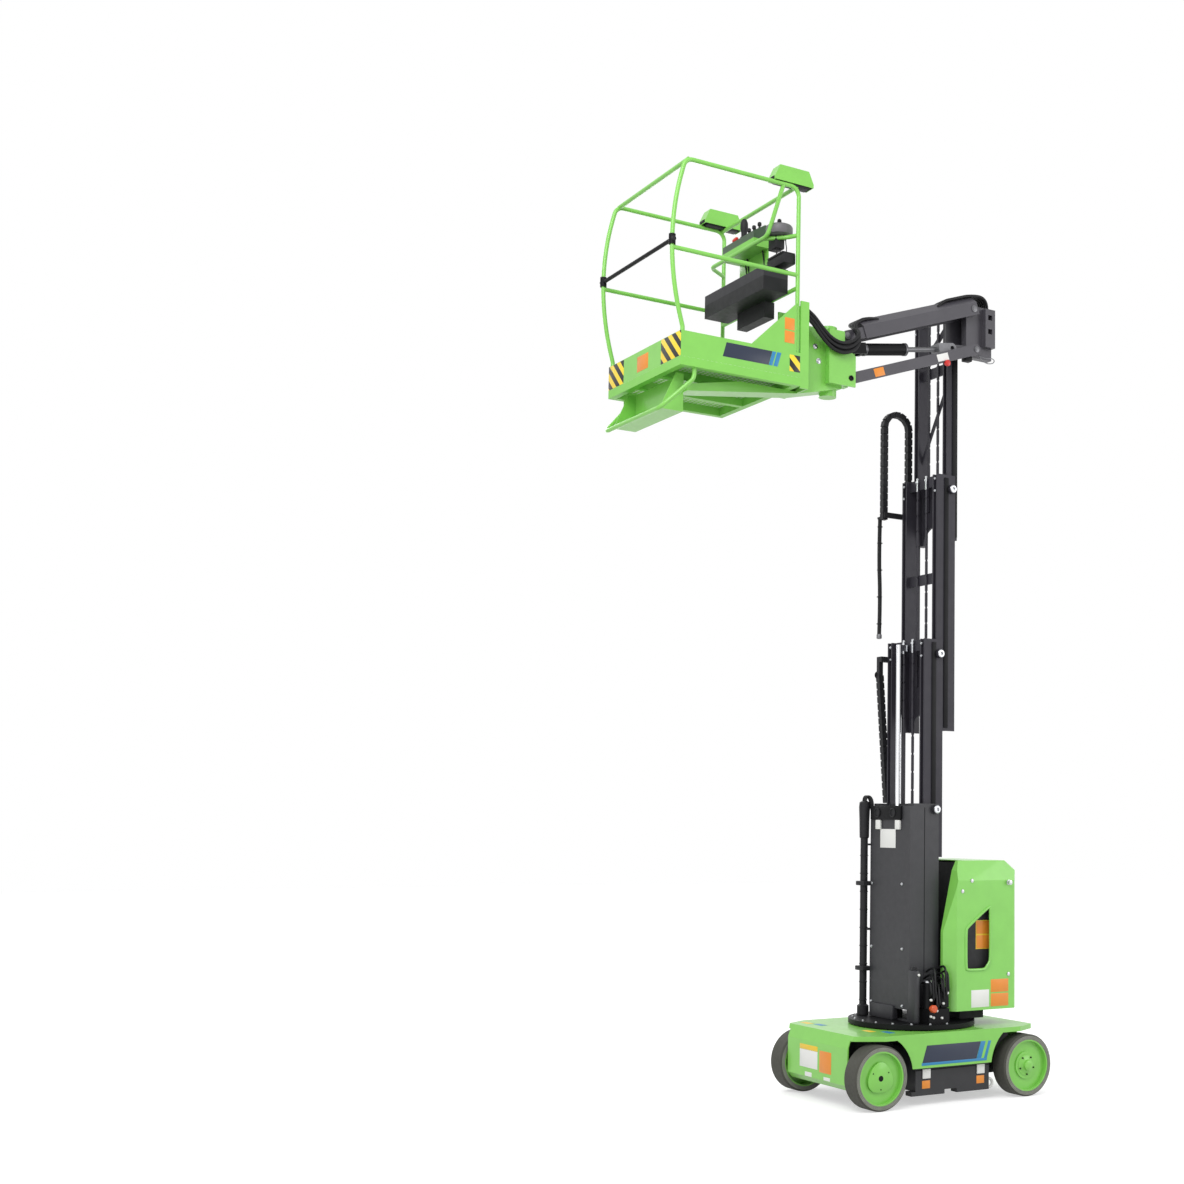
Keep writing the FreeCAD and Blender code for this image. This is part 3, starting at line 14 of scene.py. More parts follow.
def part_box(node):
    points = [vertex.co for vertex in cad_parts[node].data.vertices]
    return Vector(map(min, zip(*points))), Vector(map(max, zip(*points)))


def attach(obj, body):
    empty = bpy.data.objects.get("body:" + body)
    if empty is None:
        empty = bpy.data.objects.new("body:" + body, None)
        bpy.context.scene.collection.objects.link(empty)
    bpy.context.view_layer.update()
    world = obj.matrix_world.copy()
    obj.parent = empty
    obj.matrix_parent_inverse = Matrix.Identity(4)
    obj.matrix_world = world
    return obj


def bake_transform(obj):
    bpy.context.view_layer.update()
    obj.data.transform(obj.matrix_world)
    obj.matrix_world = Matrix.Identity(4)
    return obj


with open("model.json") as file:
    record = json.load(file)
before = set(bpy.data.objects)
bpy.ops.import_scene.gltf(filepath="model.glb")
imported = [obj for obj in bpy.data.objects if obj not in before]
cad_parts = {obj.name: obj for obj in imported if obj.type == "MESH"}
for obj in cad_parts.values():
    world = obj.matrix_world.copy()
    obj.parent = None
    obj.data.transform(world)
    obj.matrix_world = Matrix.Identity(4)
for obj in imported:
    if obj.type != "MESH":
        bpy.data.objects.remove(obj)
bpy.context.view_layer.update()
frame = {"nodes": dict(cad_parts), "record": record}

log = logging.getLogger("mast_lift")

Point = Sequence[float]
Pair = tuple[float, float]
Triple = tuple[float, float, float]
Colour = Triple
Profile = Sequence[Pair]
Piece = bpy.types.Object
Node = bpy.types.Node
Socket = bpy.types.NodeSocket
Inputs = dict[str | int, Socket | float | Sequence[float]]

MM = 0.001
SMOOTH_ANGLE = math.radians(35)
RAMP_STOPS = (0.3, 0.7)
# A blank plate's depth in its face, height over it and edge, in millimetres
PLATE_SUNK, PLATE_PROUD, PLATE_EDGE = 0.5, 1.0, 0.3
CORNERS = ("front_left", "front_right", "rear_left", "rear_right")


class Side(Enum):
    """Directions of the machine."""

    FRONT = (1, 0, 0)
    LEFT = (0, 1, 0)
    RIGHT = (0, -1, 0)
    UP = (0, 0, 1)
    DOWN = (0, 0, -1)

    @property
    def arrow(self) -> Vector:
        """The direction as a vector."""
        return Vector(self.value)

    @property
    def axis(self) -> int:
        """Number of the axis that the direction lies along."""
        return [abs(share) for share in self.value].index(1)


def joint_place(name: str) -> Vector:
    """Place in metres where a CAD joint of this name stands."""
    row = next(j for j in frame["record"]["behaviour"]["joints"] if j["name"] == name)
    return Vector(row["pos_m"])


SLEW = joint_place("slew")


def at(x: float, y: float, z: float) -> Vector:
    """A place given in millimetres from the slew axis on the floor, in metres."""
    return Vector((x * MM + SLEW.x, y * MM + SLEW.y, z * MM))


@dataclass
class Web:
    """Node tree of a material or of the world."""

    tree: bpy.types.NodeTree

    def put(self, node: Node, inputs: Inputs) -> None:
        """Fill a node's inputs; sockets are linked and plain values are set.

        Args:
            node: The node.
            inputs: What goes in, by the input's name or number.
        """
        for name, value in inputs.items():
            if isinstance(value, Socket):
                self.tree.links.new(value, node.inputs[name])
            else:
                node.inputs[name].default_value = value

    def add(self, kind: str, inputs: Inputs, **settings: str) -> Node:
        """Add a node.

        Args:
            kind: Its kind, as Blender names it after "ShaderNode".
            inputs: What goes in, by the input's name or number.
            settings: Its own settings, made before anything goes in.

        Returns:
            The node.
        """
        node = self.tree.nodes.new(f"ShaderNode{kind}")
        for name, value in settings.items():
            setattr(node, name, value)
        self.put(node, inputs)
        return node

    def place(self, kind: str = "Object") -> Socket:
        """Coordinates of this kind."""
        return self.add("TexCoord", {}).outputs[kind]

    def parts(self, source: Socket) -> bpy.types.bpy_prop_collection:
        """Parts of a vector along X, Y and Z."""
        return self.add("SeparateXYZ", {0: source}).outputs

    def noise(self, scale: float) -> Socket:
        """Cloudy pattern with so many spots to the metre."""
        inputs = {"Vector": self.place(), "Scale": scale, "Detail": 4.0}
        return self.add("TexNoise", inputs).outputs["Fac"]

    def math(self, operation: str, *values: Socket | float) -> Socket:
        """One step of arithmetic."""
        return self.add("Math", dict(enumerate(values)), operation=operation).outputs[0]

    def swap(self, pick: Socket, main: Socket, other: Colour) -> Socket:
        """The main colour, and the other one where the pattern is one."""
        inputs = {"Factor": pick, 6: main, 7: (*other, 1)}
        return self.add("Mix", inputs, data_type="RGBA").outputs[2]

    def seen(self) -> Socket:
        """One for what the camera sees directly, mirrored or through glass, else zero.

        Returns:
            Socket with that value.
        """
        rays = self.add("LightPath", {}).outputs
        direct = self.math("MAXIMUM", rays["Is Camera Ray"], rays["Is Glossy Ray"])
        return self.math("MAXIMUM", direct, rays["Is Transmission Ray"])


@dataclass(frozen=True)
class Finish:
    """A surface finish whose colour and gloss vary a little over the piece."""

    name: str
    colour: Colour
    roughness: float
    metallic: float = 0.0
    coat: float = 0.0
    mottle: float = 0.08
    grain: float = 9.0
    relief: float = 0.0
    relief_grain: float = 300.0
    specular: float = 0.5
    gloss_spread: float = 0.2

    def material(self) -> bpy.types.Material:
        """Make the material once.

        Returns:
            The material of this finish.
        """
        found = bpy.data.materials.get(self.name)
        if found:
            return found
        made = bpy.data.materials.new(self.name)
        made.use_nodes = True
        web = Web(made.node_tree)
        gloss = web.add("MapRange", {
            "Value": web.noise(self.grain * 3),
            "To Min": max(0.02, self.roughness * (1 - self.gloss_spread)),
            "To Max": min(1.0, self.roughness * (1 + self.gloss_spread))})
        inputs = {"Base Color": self.tint(web), "Roughness": gloss.outputs["Result"],
                  "Metallic": self.metallic, "Coat Weight": self.coat,
                  "Specular IOR Level": self.specular}
        if self.relief:
            bump = web.add("Bump", {"Strength": self.relief, "Distance": MM,
                                    "Height": web.noise(self.relief_grain)})
            inputs["Normal"] = bump.outputs["Normal"]
        web.put(web.tree.nodes["Principled BSDF"], inputs)
        return made

    def tint(self, web: Web) -> Socket:
        """Colour over the piece, from darker to lighter shades of the finish's colour.

        Args:
            web: The material's nodes.

        Returns:
            Socket with the colour.
        """
        shades = web.add("ValToRGB", {"Fac": web.noise(self.grain)})
        for stop, place, share in zip(shades.color_ramp.elements, RAMP_STOPS, (-1, 1)):
            stop.position = place
            stop.color = (*(min(1.0, c * (1 + share * self.mottle)) for c in self.colour), 1)
        return shades.outputs["Color"]


@dataclass(frozen=True)
class Striped(Finish):
    """Slanting bands of two colours."""

    second: Colour = (0.01, 0.01, 0.01)
    bands: float = 12.0
    slant: Triple = (1.0, 1.0, 1.0)

    def tint(self, web: Web) -> Socket:
        """Colour over the piece, in bands across the slant.

        Args:
            web: The material's nodes.

        Returns:
            Socket with the colour.
        """
        slant = [share * self.bands for share in self.slant]
        along = web.add("VectorMath", {0: web.place(), 1: slant}, operation="DOT_PRODUCT")
        dark = web.math("GREATER_THAN", web.math("FRACT", along.outputs["Value"]), 0.5)
        return web.swap(dark, super().tint(web), self.second)


@dataclass(frozen=True)
class Turned(Finish):
    """Rubber that is darker on the tread than on the side walls."""

    tread: Colour = (0.055, 0.055, 0.045)
    wall_from: float = 0.9

    def tint(self, web: Web) -> Socket:
        """Colour over the piece, picked by how far a face looks sideways.

        Args:
            web: The material's nodes.

        Returns:
            Socket with the colour.
        """
        aside = web.math("ABSOLUTE", web.parts(web.place("Normal"))["Y"])
        return web.swap(web.math("LESS_THAN", aside, self.wall_from), super().tint(web), self.tread)


@dataclass(frozen=True)
class Zoned(Finish):
    """A finish that changes to another colour beyond a place on an axis."""

    zones: tuple[tuple[str, float, Colour], ...] = ()

    def tint(self, web: Web) -> Socket:
        """Colour over the piece, in zones.

        Args:
            web: The material's nodes.

        Returns:
            Socket with the colour.
        """
        parts = web.parts(web.place())
        colour = super().tint(web)
        for axis, border, other in self.zones:
            colour = web.swap(web.math("GREATER_THAN", parts[axis], border), colour, other)
        return colour


@dataclass(frozen=True)
class Pierced(Finish):
    """Paint with rows of round holes above a level, through which the sky shows pale."""

    second: Colour = (0.62, 0.66, 0.58)
    level: float = 4.3095
    pitch: float = 0.03
    hole_share: float = 0.30

    def tint(self, web: Web) -> Socket:
        """Colour over the piece, pale in the holes.

        Args:
            web: The material's nodes.

        Returns:
            Socket with the colour.
        """
        parts = web.parts(web.place())
        squares = []
        for axis in ("X", "Y"):
            cell = web.math("FRACT", web.math("MULTIPLY", parts[axis], 1 / self.pitch))
            squares.append(web.math("POWER", web.math("SUBTRACT", cell, 0.5), 2))
        near = web.math("LESS_THAN", web.math("ADD", *squares), self.hole_share ** 2)
        above = web.math("GREATER_THAN", parts["Z"], self.level)
        return web.swap(web.math("MULTIPLY", near, above), super().tint(web), self.second)


GREEN = (0.195, 0.53, 0.08)
LIME = Finish("lime_paint", GREEN, 0.36, coat=0.25, mottle=0.04, relief=0.05)
HOOD_LIME = Finish("moulded_lime", (0.205, 0.55, 0.09), 0.33, coat=0.35, mottle=0.04, relief=0.04)
MAST_GREY = Finish("mast_paint", (0.021, 0.021, 0.025), 0.5, relief=0.1)
STAGE_GREY = Finish("stage_paint", (0.028, 0.026, 0.034), 0.48, relief=0.1, specular=0.25)
JIB_GREY = Finish("jib_paint", (0.050, 0.047, 0.057), 0.4, coat=0.1, relief=0.08)
BLACK = Finish("black_paint", (0.007, 0.007, 0.008), 0.45, relief=0.1, specular=0.12)
MOULDED = Finish("moulded_black", (0.013, 0.013, 0.015), 0.55, relief=0.15, specular=0.25)
CASE_GREY = Finish("case_grey", (0.03, 0.03, 0.033), 0.5, relief=0.15, specular=0.3)
IRON = Finish("rough_iron", (0.02, 0.02, 0.022), 0.7, metallic=0.3, relief=0.5, relief_grain=120)
STEEL = Finish("machined_steel", (0.55, 0.56, 0.58), 0.3, metallic=1.0, mottle=0.04)
DULL_STEEL = Finish("dull_steel", (0.17, 0.17, 0.18), 0.42, metallic=0.7, mottle=0.1, grain=30)
CHROME = Finish("polished_rod", (0.75, 0.76, 0.78), 0.12, metallic=1.0, mottle=0.02)
HOSE = Finish("hose_rubber", (0.008, 0.008, 0.009), 0.5, specular=0.25)
WHITE = Finish("blank_white", (0.72, 0.72, 0.70), 0.4, mottle=0.02)
YELLOW = Finish("blank_yellow", (0.75, 0.50, 0.03), 0.4, mottle=0.04)
ORANGE = Finish("blank_orange", (0.72, 0.24, 0.025), 0.4, mottle=0.04)
TEAL = Finish("blank_teal", (0.02, 0.20, 0.42), 0.4, mottle=0.04)
NAVY = Finish("blank_navy", (0.012, 0.02, 0.045), 0.4, mottle=0.04)
RED = Finish("switch_red", (0.55, 0.02, 0.015), 0.35)
VALVE_RED = Finish("valve_red", (0.60, 0.09, 0.025), 0.35)
PANEL = Finish("panel_grey", (0.42, 0.43, 0.40), 0.45, mottle=0.06)
DRUM = Finish("drum_plastic", (0.115, 0.11, 0.12), 0.5, relief=0.1)
TYRE = Turned("grey_rubber", (0.21, 0.215, 0.185), 0.8, mottle=0.12, grain=20, relief=0.4)
# Darker green above 5.236 m and dark grey beyond 0.2 m towards the near side
CONSOLE = Zoned("console_paint", GREEN, 0.4, mottle=0.04, relief=0.05,
                zones=(("Z", 5.236, (0.035, 0.07, 0.035)), ("Y", 0.2, (0.06, 0.06, 0.065))))
FLOOR = Pierced("pierced_floor", GREEN, 0.42, mottle=0.04)
TRAY = Zoned("tray_plastic", MOULDED.colour, 0.55, relief=0.15, specular=0.25,
             zones=(("Z", 4.93, (0.032, 0.031, 0.036)),))
HAZARD = Striped("hazard_bands", (0.85, 0.62, 0.03), 0.4, mottle=0.03, bands=10.5)
HAZARD_SIDE = replace(HAZARD, name="hazard_bands_side", slant=(-1.0, 1.0, 1.0))

NODE_FINISH = {
    LIME: ("chassis_cover", "basket_mount", "toe_boards", "basket_rails", "entry_step",
           "step_hoop", "lamp_visors", *(f"rim_{corner}" for corner in CORNERS)),
    HOOD_LIME: ("hood",),
    FLOOR: ("basket_floor",),
    CONSOLE: ("control_box",),
    MAST_GREY: ("mast_base", "mast_cover"),
    STAGE_GREY: ("stage_first", "stage_second", "stage_third"),
    JIB_GREY: ("jib_head", "jib_beam", "jib_link"),
    CASE_GREY: ("side_boxes", "pothole_guards"),
    BLACK: ("front_axle", "rear_axle", "knuckle_left", "knuckle_right", "turntable_plate",
            "lift_cylinder", "pump_unit", "jib_cylinder", "gate_bar"),
    MOULDED: ("hose_guide", "hose_loop", "hose_ladder", "cable_box"),
    TRAY: ("tool_tray",),
    IRON: ("chassis_frame", "power_pack"),
    STEEL: ("slew_bearing",),
    CHROME: ("lift_rod",),
    DULL_STEEL: ("jib_rod",),
    TYRE: tuple(f"tyre_{corner}" for corner in CORNERS),
}


def dress_nodes() -> None:
    """Give every CAD node its finish."""
    for finish, names in NODE_FINISH.items():
        for name in names:
            for slot in frame["nodes"][name].material_slots:
                slot.material = finish.material()
        log.info("finish %s on %d nodes", finish.name, len(names))


class Bench:
    """Modelling steps done as by hand; every piece ends at the origin."""

    @staticmethod
    def pick(*pieces: Piece) -> None:
        """Deselect all, then select these pieces, the first one as the active one.

        Args:
            pieces: The pieces, or none to leave nothing selected.
        """
        bpy.ops.object.select_all(action="DESELECT")
        for piece in pieces:
            piece.select_set(True)
        if pieces:
            bpy.context.view_layer.objects.active = pieces[0]

    @staticmethod
    def settle(name: str) -> Piece:
        """Name the active piece and put its place into its mesh.

        Args:
            name: The piece's name.

        Returns:
            The piece.
        """
        piece = bpy.context.object
        piece.name = name
        bpy.ops.object.transform_apply(location=True, rotation=True, scale=True)
        return piece

    @staticmethod
    def dress(piece: Piece, finish: Finish) -> None:
        """Give a piece its finish and smooth shading.

        Args:
            piece: The piece.
            finish: Its finish.
        """
        piece.data.materials.clear()
        piece.data.materials.append(finish.material())
        Bench.pick(piece)
        bpy.ops.object.shade_smooth_by_angle(angle=SMOOTH_ANGLE)

    @staticmethod
    def stand(place: Point, facing: Vector) -> Matrix:
        """Frame at a place whose upright axis points along a direction."""
        return Matrix.Translation(place) @ facing.to_track_quat("Z", "Y").to_matrix().to_4x4()

    @staticmethod
    def block(name: str, low: Point, high: Point, edge: float) -> Piece:
        """Block with softened edges.

        Args:
            name: The piece's name.
            low: Its lowest corner.
            high: Its highest corner.
            edge: Width of its softened edges in millimetres.

        Returns:
            The piece.
        """
        Bench.pick()
        low, high = Vector(low), Vector(high)
        bpy.ops.mesh.primitive_cube_add(size=1, location=(low + high) / 2)
        bpy.context.object.scale = high - low
        piece = Bench.settle(name)
        bpy.ops.object.mode_set(mode="EDIT")
        bpy.ops.mesh.select_all(action="SELECT")
        bpy.ops.mesh.bevel(offset=edge * MM, segments=2, affect="EDGES", clamp_overlap=True)
        bpy.ops.object.mode_set(mode="OBJECT")
        return piece

    @staticmethod
    def turned(name: str, foot: Point, facing: Vector, steps: Profile, sides: int) -> Piece:
        """Turned piece, made by pushing a disc out ring by ring.

        Args:
            name: The piece's name.
            foot: Centre of its foot.
            facing: The direction it stands in.
            steps: Radius and height of each ring, in millimetres.
            sides: Corners of each ring.

        Returns:
            The piece.
        """
        Bench.pick()
        radius, height = steps[0]
        bpy.ops.mesh.primitive_circle_add(
            vertices=sides, radius=radius * MM, fill_type="NGON", location=(0, 0, height * MM))
        piece = Bench.settle(name)
        bpy.ops.object.mode_set(mode="EDIT")
        bpy.ops.mesh.select_all(action="SELECT")
        for wide, far in steps[1:]:
            step = (0, 0, (far - height) * MM)
            bpy.ops.mesh.extrude_region_move(TRANSFORM_OT_translate={"value": step})
            share = wide / radius
            bpy.ops.transform.resize(value=(share, share, 1), center_override=(0, 0, far * MM))
            radius, height = wide, far
        bpy.ops.mesh.select_all(action="SELECT")
        bpy.ops.mesh.normals_make_consistent(inside=False)
        bpy.ops.object.mode_set(mode="OBJECT")
        piece.matrix_world = Bench.stand(foot, facing)
        return Bench.settle(name)

    @staticmethod
    def ring(centre: Point, facing: Vector, radius: float, thick: float) -> Piece:
        """Round ring, such as a clip or a moulded bead.

        Args:
            centre: Its centre.
            facing: The direction of its axis.
            radius: Its radius in millimetres.
            thick: Radius of its section in millimetres.

        Returns:
            The piece.
        """
        Bench.pick()
        bpy.ops.mesh.primitive_torus_add(
            major_radius=radius * MM, minor_radius=thick * MM, major_segments=40, minor_segments=8)
        bpy.context.object.matrix_world = Bench.stand(centre, facing)
        return Bench.settle("ring")

    @staticmethod
    def lobe(piece: Piece, centre: Point, share: float) -> None:
        """Push a round plate's rim in and out, so that it turns three-sided.

        Args:
            piece: The plate, facing sideways.
            centre: Its middle.
            share: How far the rim moves, as a share of its radius.
        """
        for corner in piece.data.vertices:
            away = corner.co - Vector(centre)
            swell = 1 + share * math.cos(3 * math.atan2(away.x, away.z))
            corner.co.x = centre[0] + away.x * swell
            corner.co.z = centre[2] + away.z * swell

    @staticmethod
    def lean(piece: Piece, shift: float, reach: float = 0.005) -> None:
        """Push a piece's upper side to the rear, so that it slants.

        Args:
            piece: The piece.
            shift: How far it moves.
            reach: How far below the top a corner still moves.
        """
        top = max(corner.co.z for corner in piece.data.vertices)
        for part in (*piece.data.polygons, *piece.data.edges):
            part.select = False
        for corner in piece.data.vertices:
            corner.select = corner.co.z > top - reach
        bpy.ops.object.mode_set(mode="EDIT")
        bpy.ops.transform.translate(value=(-shift, 0, 0))
        bpy.ops.object.mode_set(mode="OBJECT")

    @staticmethod
    def tilt(piece: Piece, pivot: Point, angle: float) -> Piece:
        """Turn a piece nose down about a pivot.

        Args:
            piece: The piece.
            pivot: The point that stays.
            angle: How far it turns, in radians.

        Returns:
            The piece.
        """
        Bench.pick(piece)
        home = Matrix.Translation(pivot)
        piece.matrix_world = home @ Matrix.Rotation(angle, 4, "Y") @ home.inverted()
        return Bench.settle(piece.name)

    @staticmethod
    def hose(name: str, points: Iterable[Point], radius: float, closed: bool = False) -> Piece:
        """Smooth round hose along given points.

        Args:
            name: The piece's name.
            points: Its control points.
            radius: Its radius in millimetres.
            closed: Whether it returns to its start.

        Returns:
            The piece.
        """
        points = [Vector(p) for p in points]
        line = bpy.data.curves.new(name, "CURVE")
        line.dimensions = "3D"
        line.bevel_depth = radius * MM
        line.bevel_resolution = 3
        line.resolution_u = 8
        line.use_fill_caps = True
        run = line.splines.new("NURBS")
        run.points.add(len(points) - 1)
        for spot, place in zip(run.points, points):
            spot.co = (*place, 1)
        run.order_u = 3
        run.use_endpoint_u = not closed
        run.use_cyclic_u = closed
        piece = bpy.data.objects.new(name, line)
        bpy.context.collection.objects.link(piece)
        Bench.pick(piece)
        bpy.ops.object.convert(target="MESH")
        return Bench.settle(name)

    @staticmethod
    def joined(name: str, pieces: Sequence[Piece]) -> Piece:
        """Several pieces as one.

        Args:
            name: Name of the whole.
            pieces: What it is made of.

        Returns:
            The whole.
        """
        Bench.pick(*pieces)
        if len(pieces) > 1:
            bpy.ops.object.join()
        return Bench.settle(name)

    @staticmethod
    def copies(name: str, master: Piece, shifts: Iterable[Point]) -> Piece:
        """Repeat a piece and join the repeats.

        Args:
            name: Name of the whole.
            master: The piece, modelled once.
            shifts: How far each copy stands from it.

        Returns:
            The whole.
        """
        made = [master]
        for shift in shifts:
            Bench.pick(master)
            bpy.ops.object.duplicate()
            bpy.ops.transform.translate(value=Vector(shift))
            made.append(bpy.context.object)
        return Bench.joined(name, made)


@dataclass
class Studio:
    """Floor, light and the camera at the photograph's angle."""

    eye: Triple = (5.4922, 8.3621, 1.6933)
    yaw: float = -2.14685
    pitch: float = 0.09711
    roll: float = 0.011818
    picture: float = 1184.0
    focus: float = 1608.64
    middle: Pair = (820.0, 665.0)
    sensor: float = 36.0
    floor_size: float = 60.0
    floor_shade: float = 0.62
    glow: float = 0.5
    sky: float = 0.75
    # Columns: name, place, target, side of the lamp's square, watts
    lamps: tuple[tuple[str, Point, Point, float, float], ...] = (
        ("key", (5.0, 4.5, 8.5), (-0.2, 0, 2.5), 5.0, 420),
        ("fill", (-6.0, 5.5, 4.0), (-0.2, 0, 2.0), 5.0, 200),
        ("back", (-1.0, -7.0, 6.0), (-0.2, 0, 2.5), 5.0, 220),
        ("front", (7.5, 2.5, 2.2), (0, 0, 1.2), 3.0, 80),
    )

    def camera(self) -> None:
        """Set the camera up as the photograph was taken."""
        turn = math.cos(self.pitch)
        ahead = Vector((math.cos(self.yaw) * turn, math.sin(self.yaw) * turn, math.sin(self.pitch)))
        right = Vector((math.sin(self.yaw), -math.cos(self.yaw), 0))
        over = right.cross(ahead)
        side = right * math.cos(self.roll) + over * math.sin(self.roll)
        top = over * math.cos(self.roll) - right * math.sin(self.roll)
        lens = bpy.data.cameras.new("Camera")
        lens.sensor_width = self.sensor
        lens.lens = self.focus / self.picture * self.sensor
        lens.shift_x = (self.picture / 2 - self.middle[0]) / self.picture
        lens.shift_y = (self.middle[1] - self.picture / 2) / self.picture
        stand = bpy.data.objects.new("Camera", lens)
        turned = Matrix((side, top, -ahead)).transposed().to_4x4()
        stand.matrix_world = Matrix.Translation(self.eye) @ turned
        bpy.context.collection.objects.link(stand)
        bpy.context.scene.camera = stand

    def light(self) -> None:
        """Hang every soft lamp."""
        for name, place, target, width, power in self.lamps:
            light = bpy.data.lights.new(name, "AREA")
            light.size = width
            light.energy = power
            stand = bpy.data.objects.new(name, light)
            aim = (Vector(target) - Vector(place)).to_track_quat("-Z", "Y")
            stand.matrix_world = Matrix.Translation(place) @ aim.to_matrix().to_4x4()
            bpy.context.collection.objects.link(stand)

    def world(self) -> None:
        """White backdrop for the camera and a plain level of light for the object."""
        sky = bpy.data.worlds.new("Sky")
        bpy.context.scene.world = sky
        sky.use_nodes = True
        web = Web(sky.node_tree)
        plain = web.tree.nodes["Background"]
        web.put(plain, {"Color": (1, 1, 1, 1), "Strength": self.sky})
        white = web.add("Background", {"Color": (1, 1, 1, 1), "Strength": 1.0})
        mix = web.add("MixShader", {0: web.seen(), 1: plain.outputs[0], 2: white.outputs[0]})
        web.put(web.tree.nodes["World Output"], {"Surface": mix.outputs[0]})

    def floor(self) -> None:
        """Pale floor that keeps the object's shadow."""
        Bench.pick()
        bpy.ops.mesh.primitive_plane_add(size=self.floor_size, location=(0, 0, -MM))
        plane = Bench.settle("floor")
        pale = bpy.data.materials.new("pale_floor")
        pale.use_nodes = True
        web = Web(pale.node_tree)
        web.put(web.tree.nodes["Principled BSDF"], {
            "Base Color": (*[self.floor_shade] * 3, 1), "Roughness": 0.9,
            "Emission Color": (1, 1, 1, 1),
            "Emission Strength": web.math("MULTIPLY", web.seen(), self.glow)})
        plane.data.materials.append(pale)

    def build(self) -> None:
        """Set the whole studio up."""
        self.world()
        self.floor()
        self.camera()
        self.light()
        bpy.context.scene.view_settings.view_transform = "Standard"
        log.info("studio ready")


@dataclass
class Assembly:
    """Small parts that ride on one CAD body."""

    body: str

    def fit(self, piece: Piece, finish: Finish) -> None:
        """Finish a piece and set it on the body.

        Args:
            piece: The piece.
            finish: Its finish.
        """
        Bench.dress(piece, finish)
        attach(piece, self.body)
        log.info("%s on %s", piece.name, self.body)

    def box(self, name: str, low: Point, high: Point, edge: float, finish: Finish) -> None:
        """Block whose corners are given in millimetres from the slew axis."""
        self.fit(Bench.block(name, at(*low), at(*high), edge), finish)

    def turn(self, name: str, foot: Point, facing: Side, steps: Profile, finish: Finish,
             sides: int = 24) -> None:
        """Turned piece whose foot is given in millimetres from the slew axis."""
        self.fit(Bench.turned(name, at(*foot), facing.arrow, steps, sides), finish)

    def hose(self, name: str, points: Iterable[Point], radius: float, finish: Finish = HOSE,
             closed: bool = False) -> None:
        """Hose along points given in millimetres from the slew axis."""
        self.fit(Bench.hose(name, [at(*p) for p in points], radius, closed), finish)

    def bush(self, name: str, foot: Point) -> None:
        """Steel bush of a chain wheel, facing the near side."""
        steps = ((25, -20), (25, 3), (20, 7), (12, 7.2), (11, -4))
        self.fit(Bench.turned(name, foot, Side.LEFT.arrow, steps, 32), STEEL)

    def plates(self, facing: Side, face: float,
               rows: Iterable[tuple[str, Pair, Pair, Finish]], lean: float = 0.0) -> None:
        """Blank plates on one face, in millimetres from the slew axis.

        Args:
            facing: The way the face looks.
            face: Its place on the axis it looks along.
            rows: Name, lowest corner, highest corner and finish of each plate, the corners
                in the face's own two axes.
            lean: How far the upper sides slant to the rear.
        """
        for name, low, high, finish in rows:
            corners = []
            for spot, depth in ((low, -PLATE_SUNK), (high, PLATE_PROUD)):
                corner = list(spot)
                corner.insert(facing.axis, face + depth)
                corners.append(at(*corner))
            plate = Bench.block(name, *corners, PLATE_EDGE)
            if lean:
                Bench.lean(plate, lean * MM)
            self.fit(plate, finish)

    def bolts(self, name: str, places: Sequence[Point], facing: Side, radius: float) -> None:
        """Hexagon bolts with washers.

        Args:
            name: The piece's name.
            places: Where each bolt's washer lies.
            facing: The way the heads face.
            radius: Radius of a head in millimetres.
        """
        washer, tip = radius * 1.35, radius * 0.85
        steps = ((washer, -1), (washer, 2), (radius, 2.1), (radius, 7), (tip, 8))
        first = Vector(places[0])
        master = Bench.turned(name, first, facing.arrow, steps, 12)
        self.fit(Bench.copies(name, master, [Vector(p) - first for p in places[1:]]), STEEL)


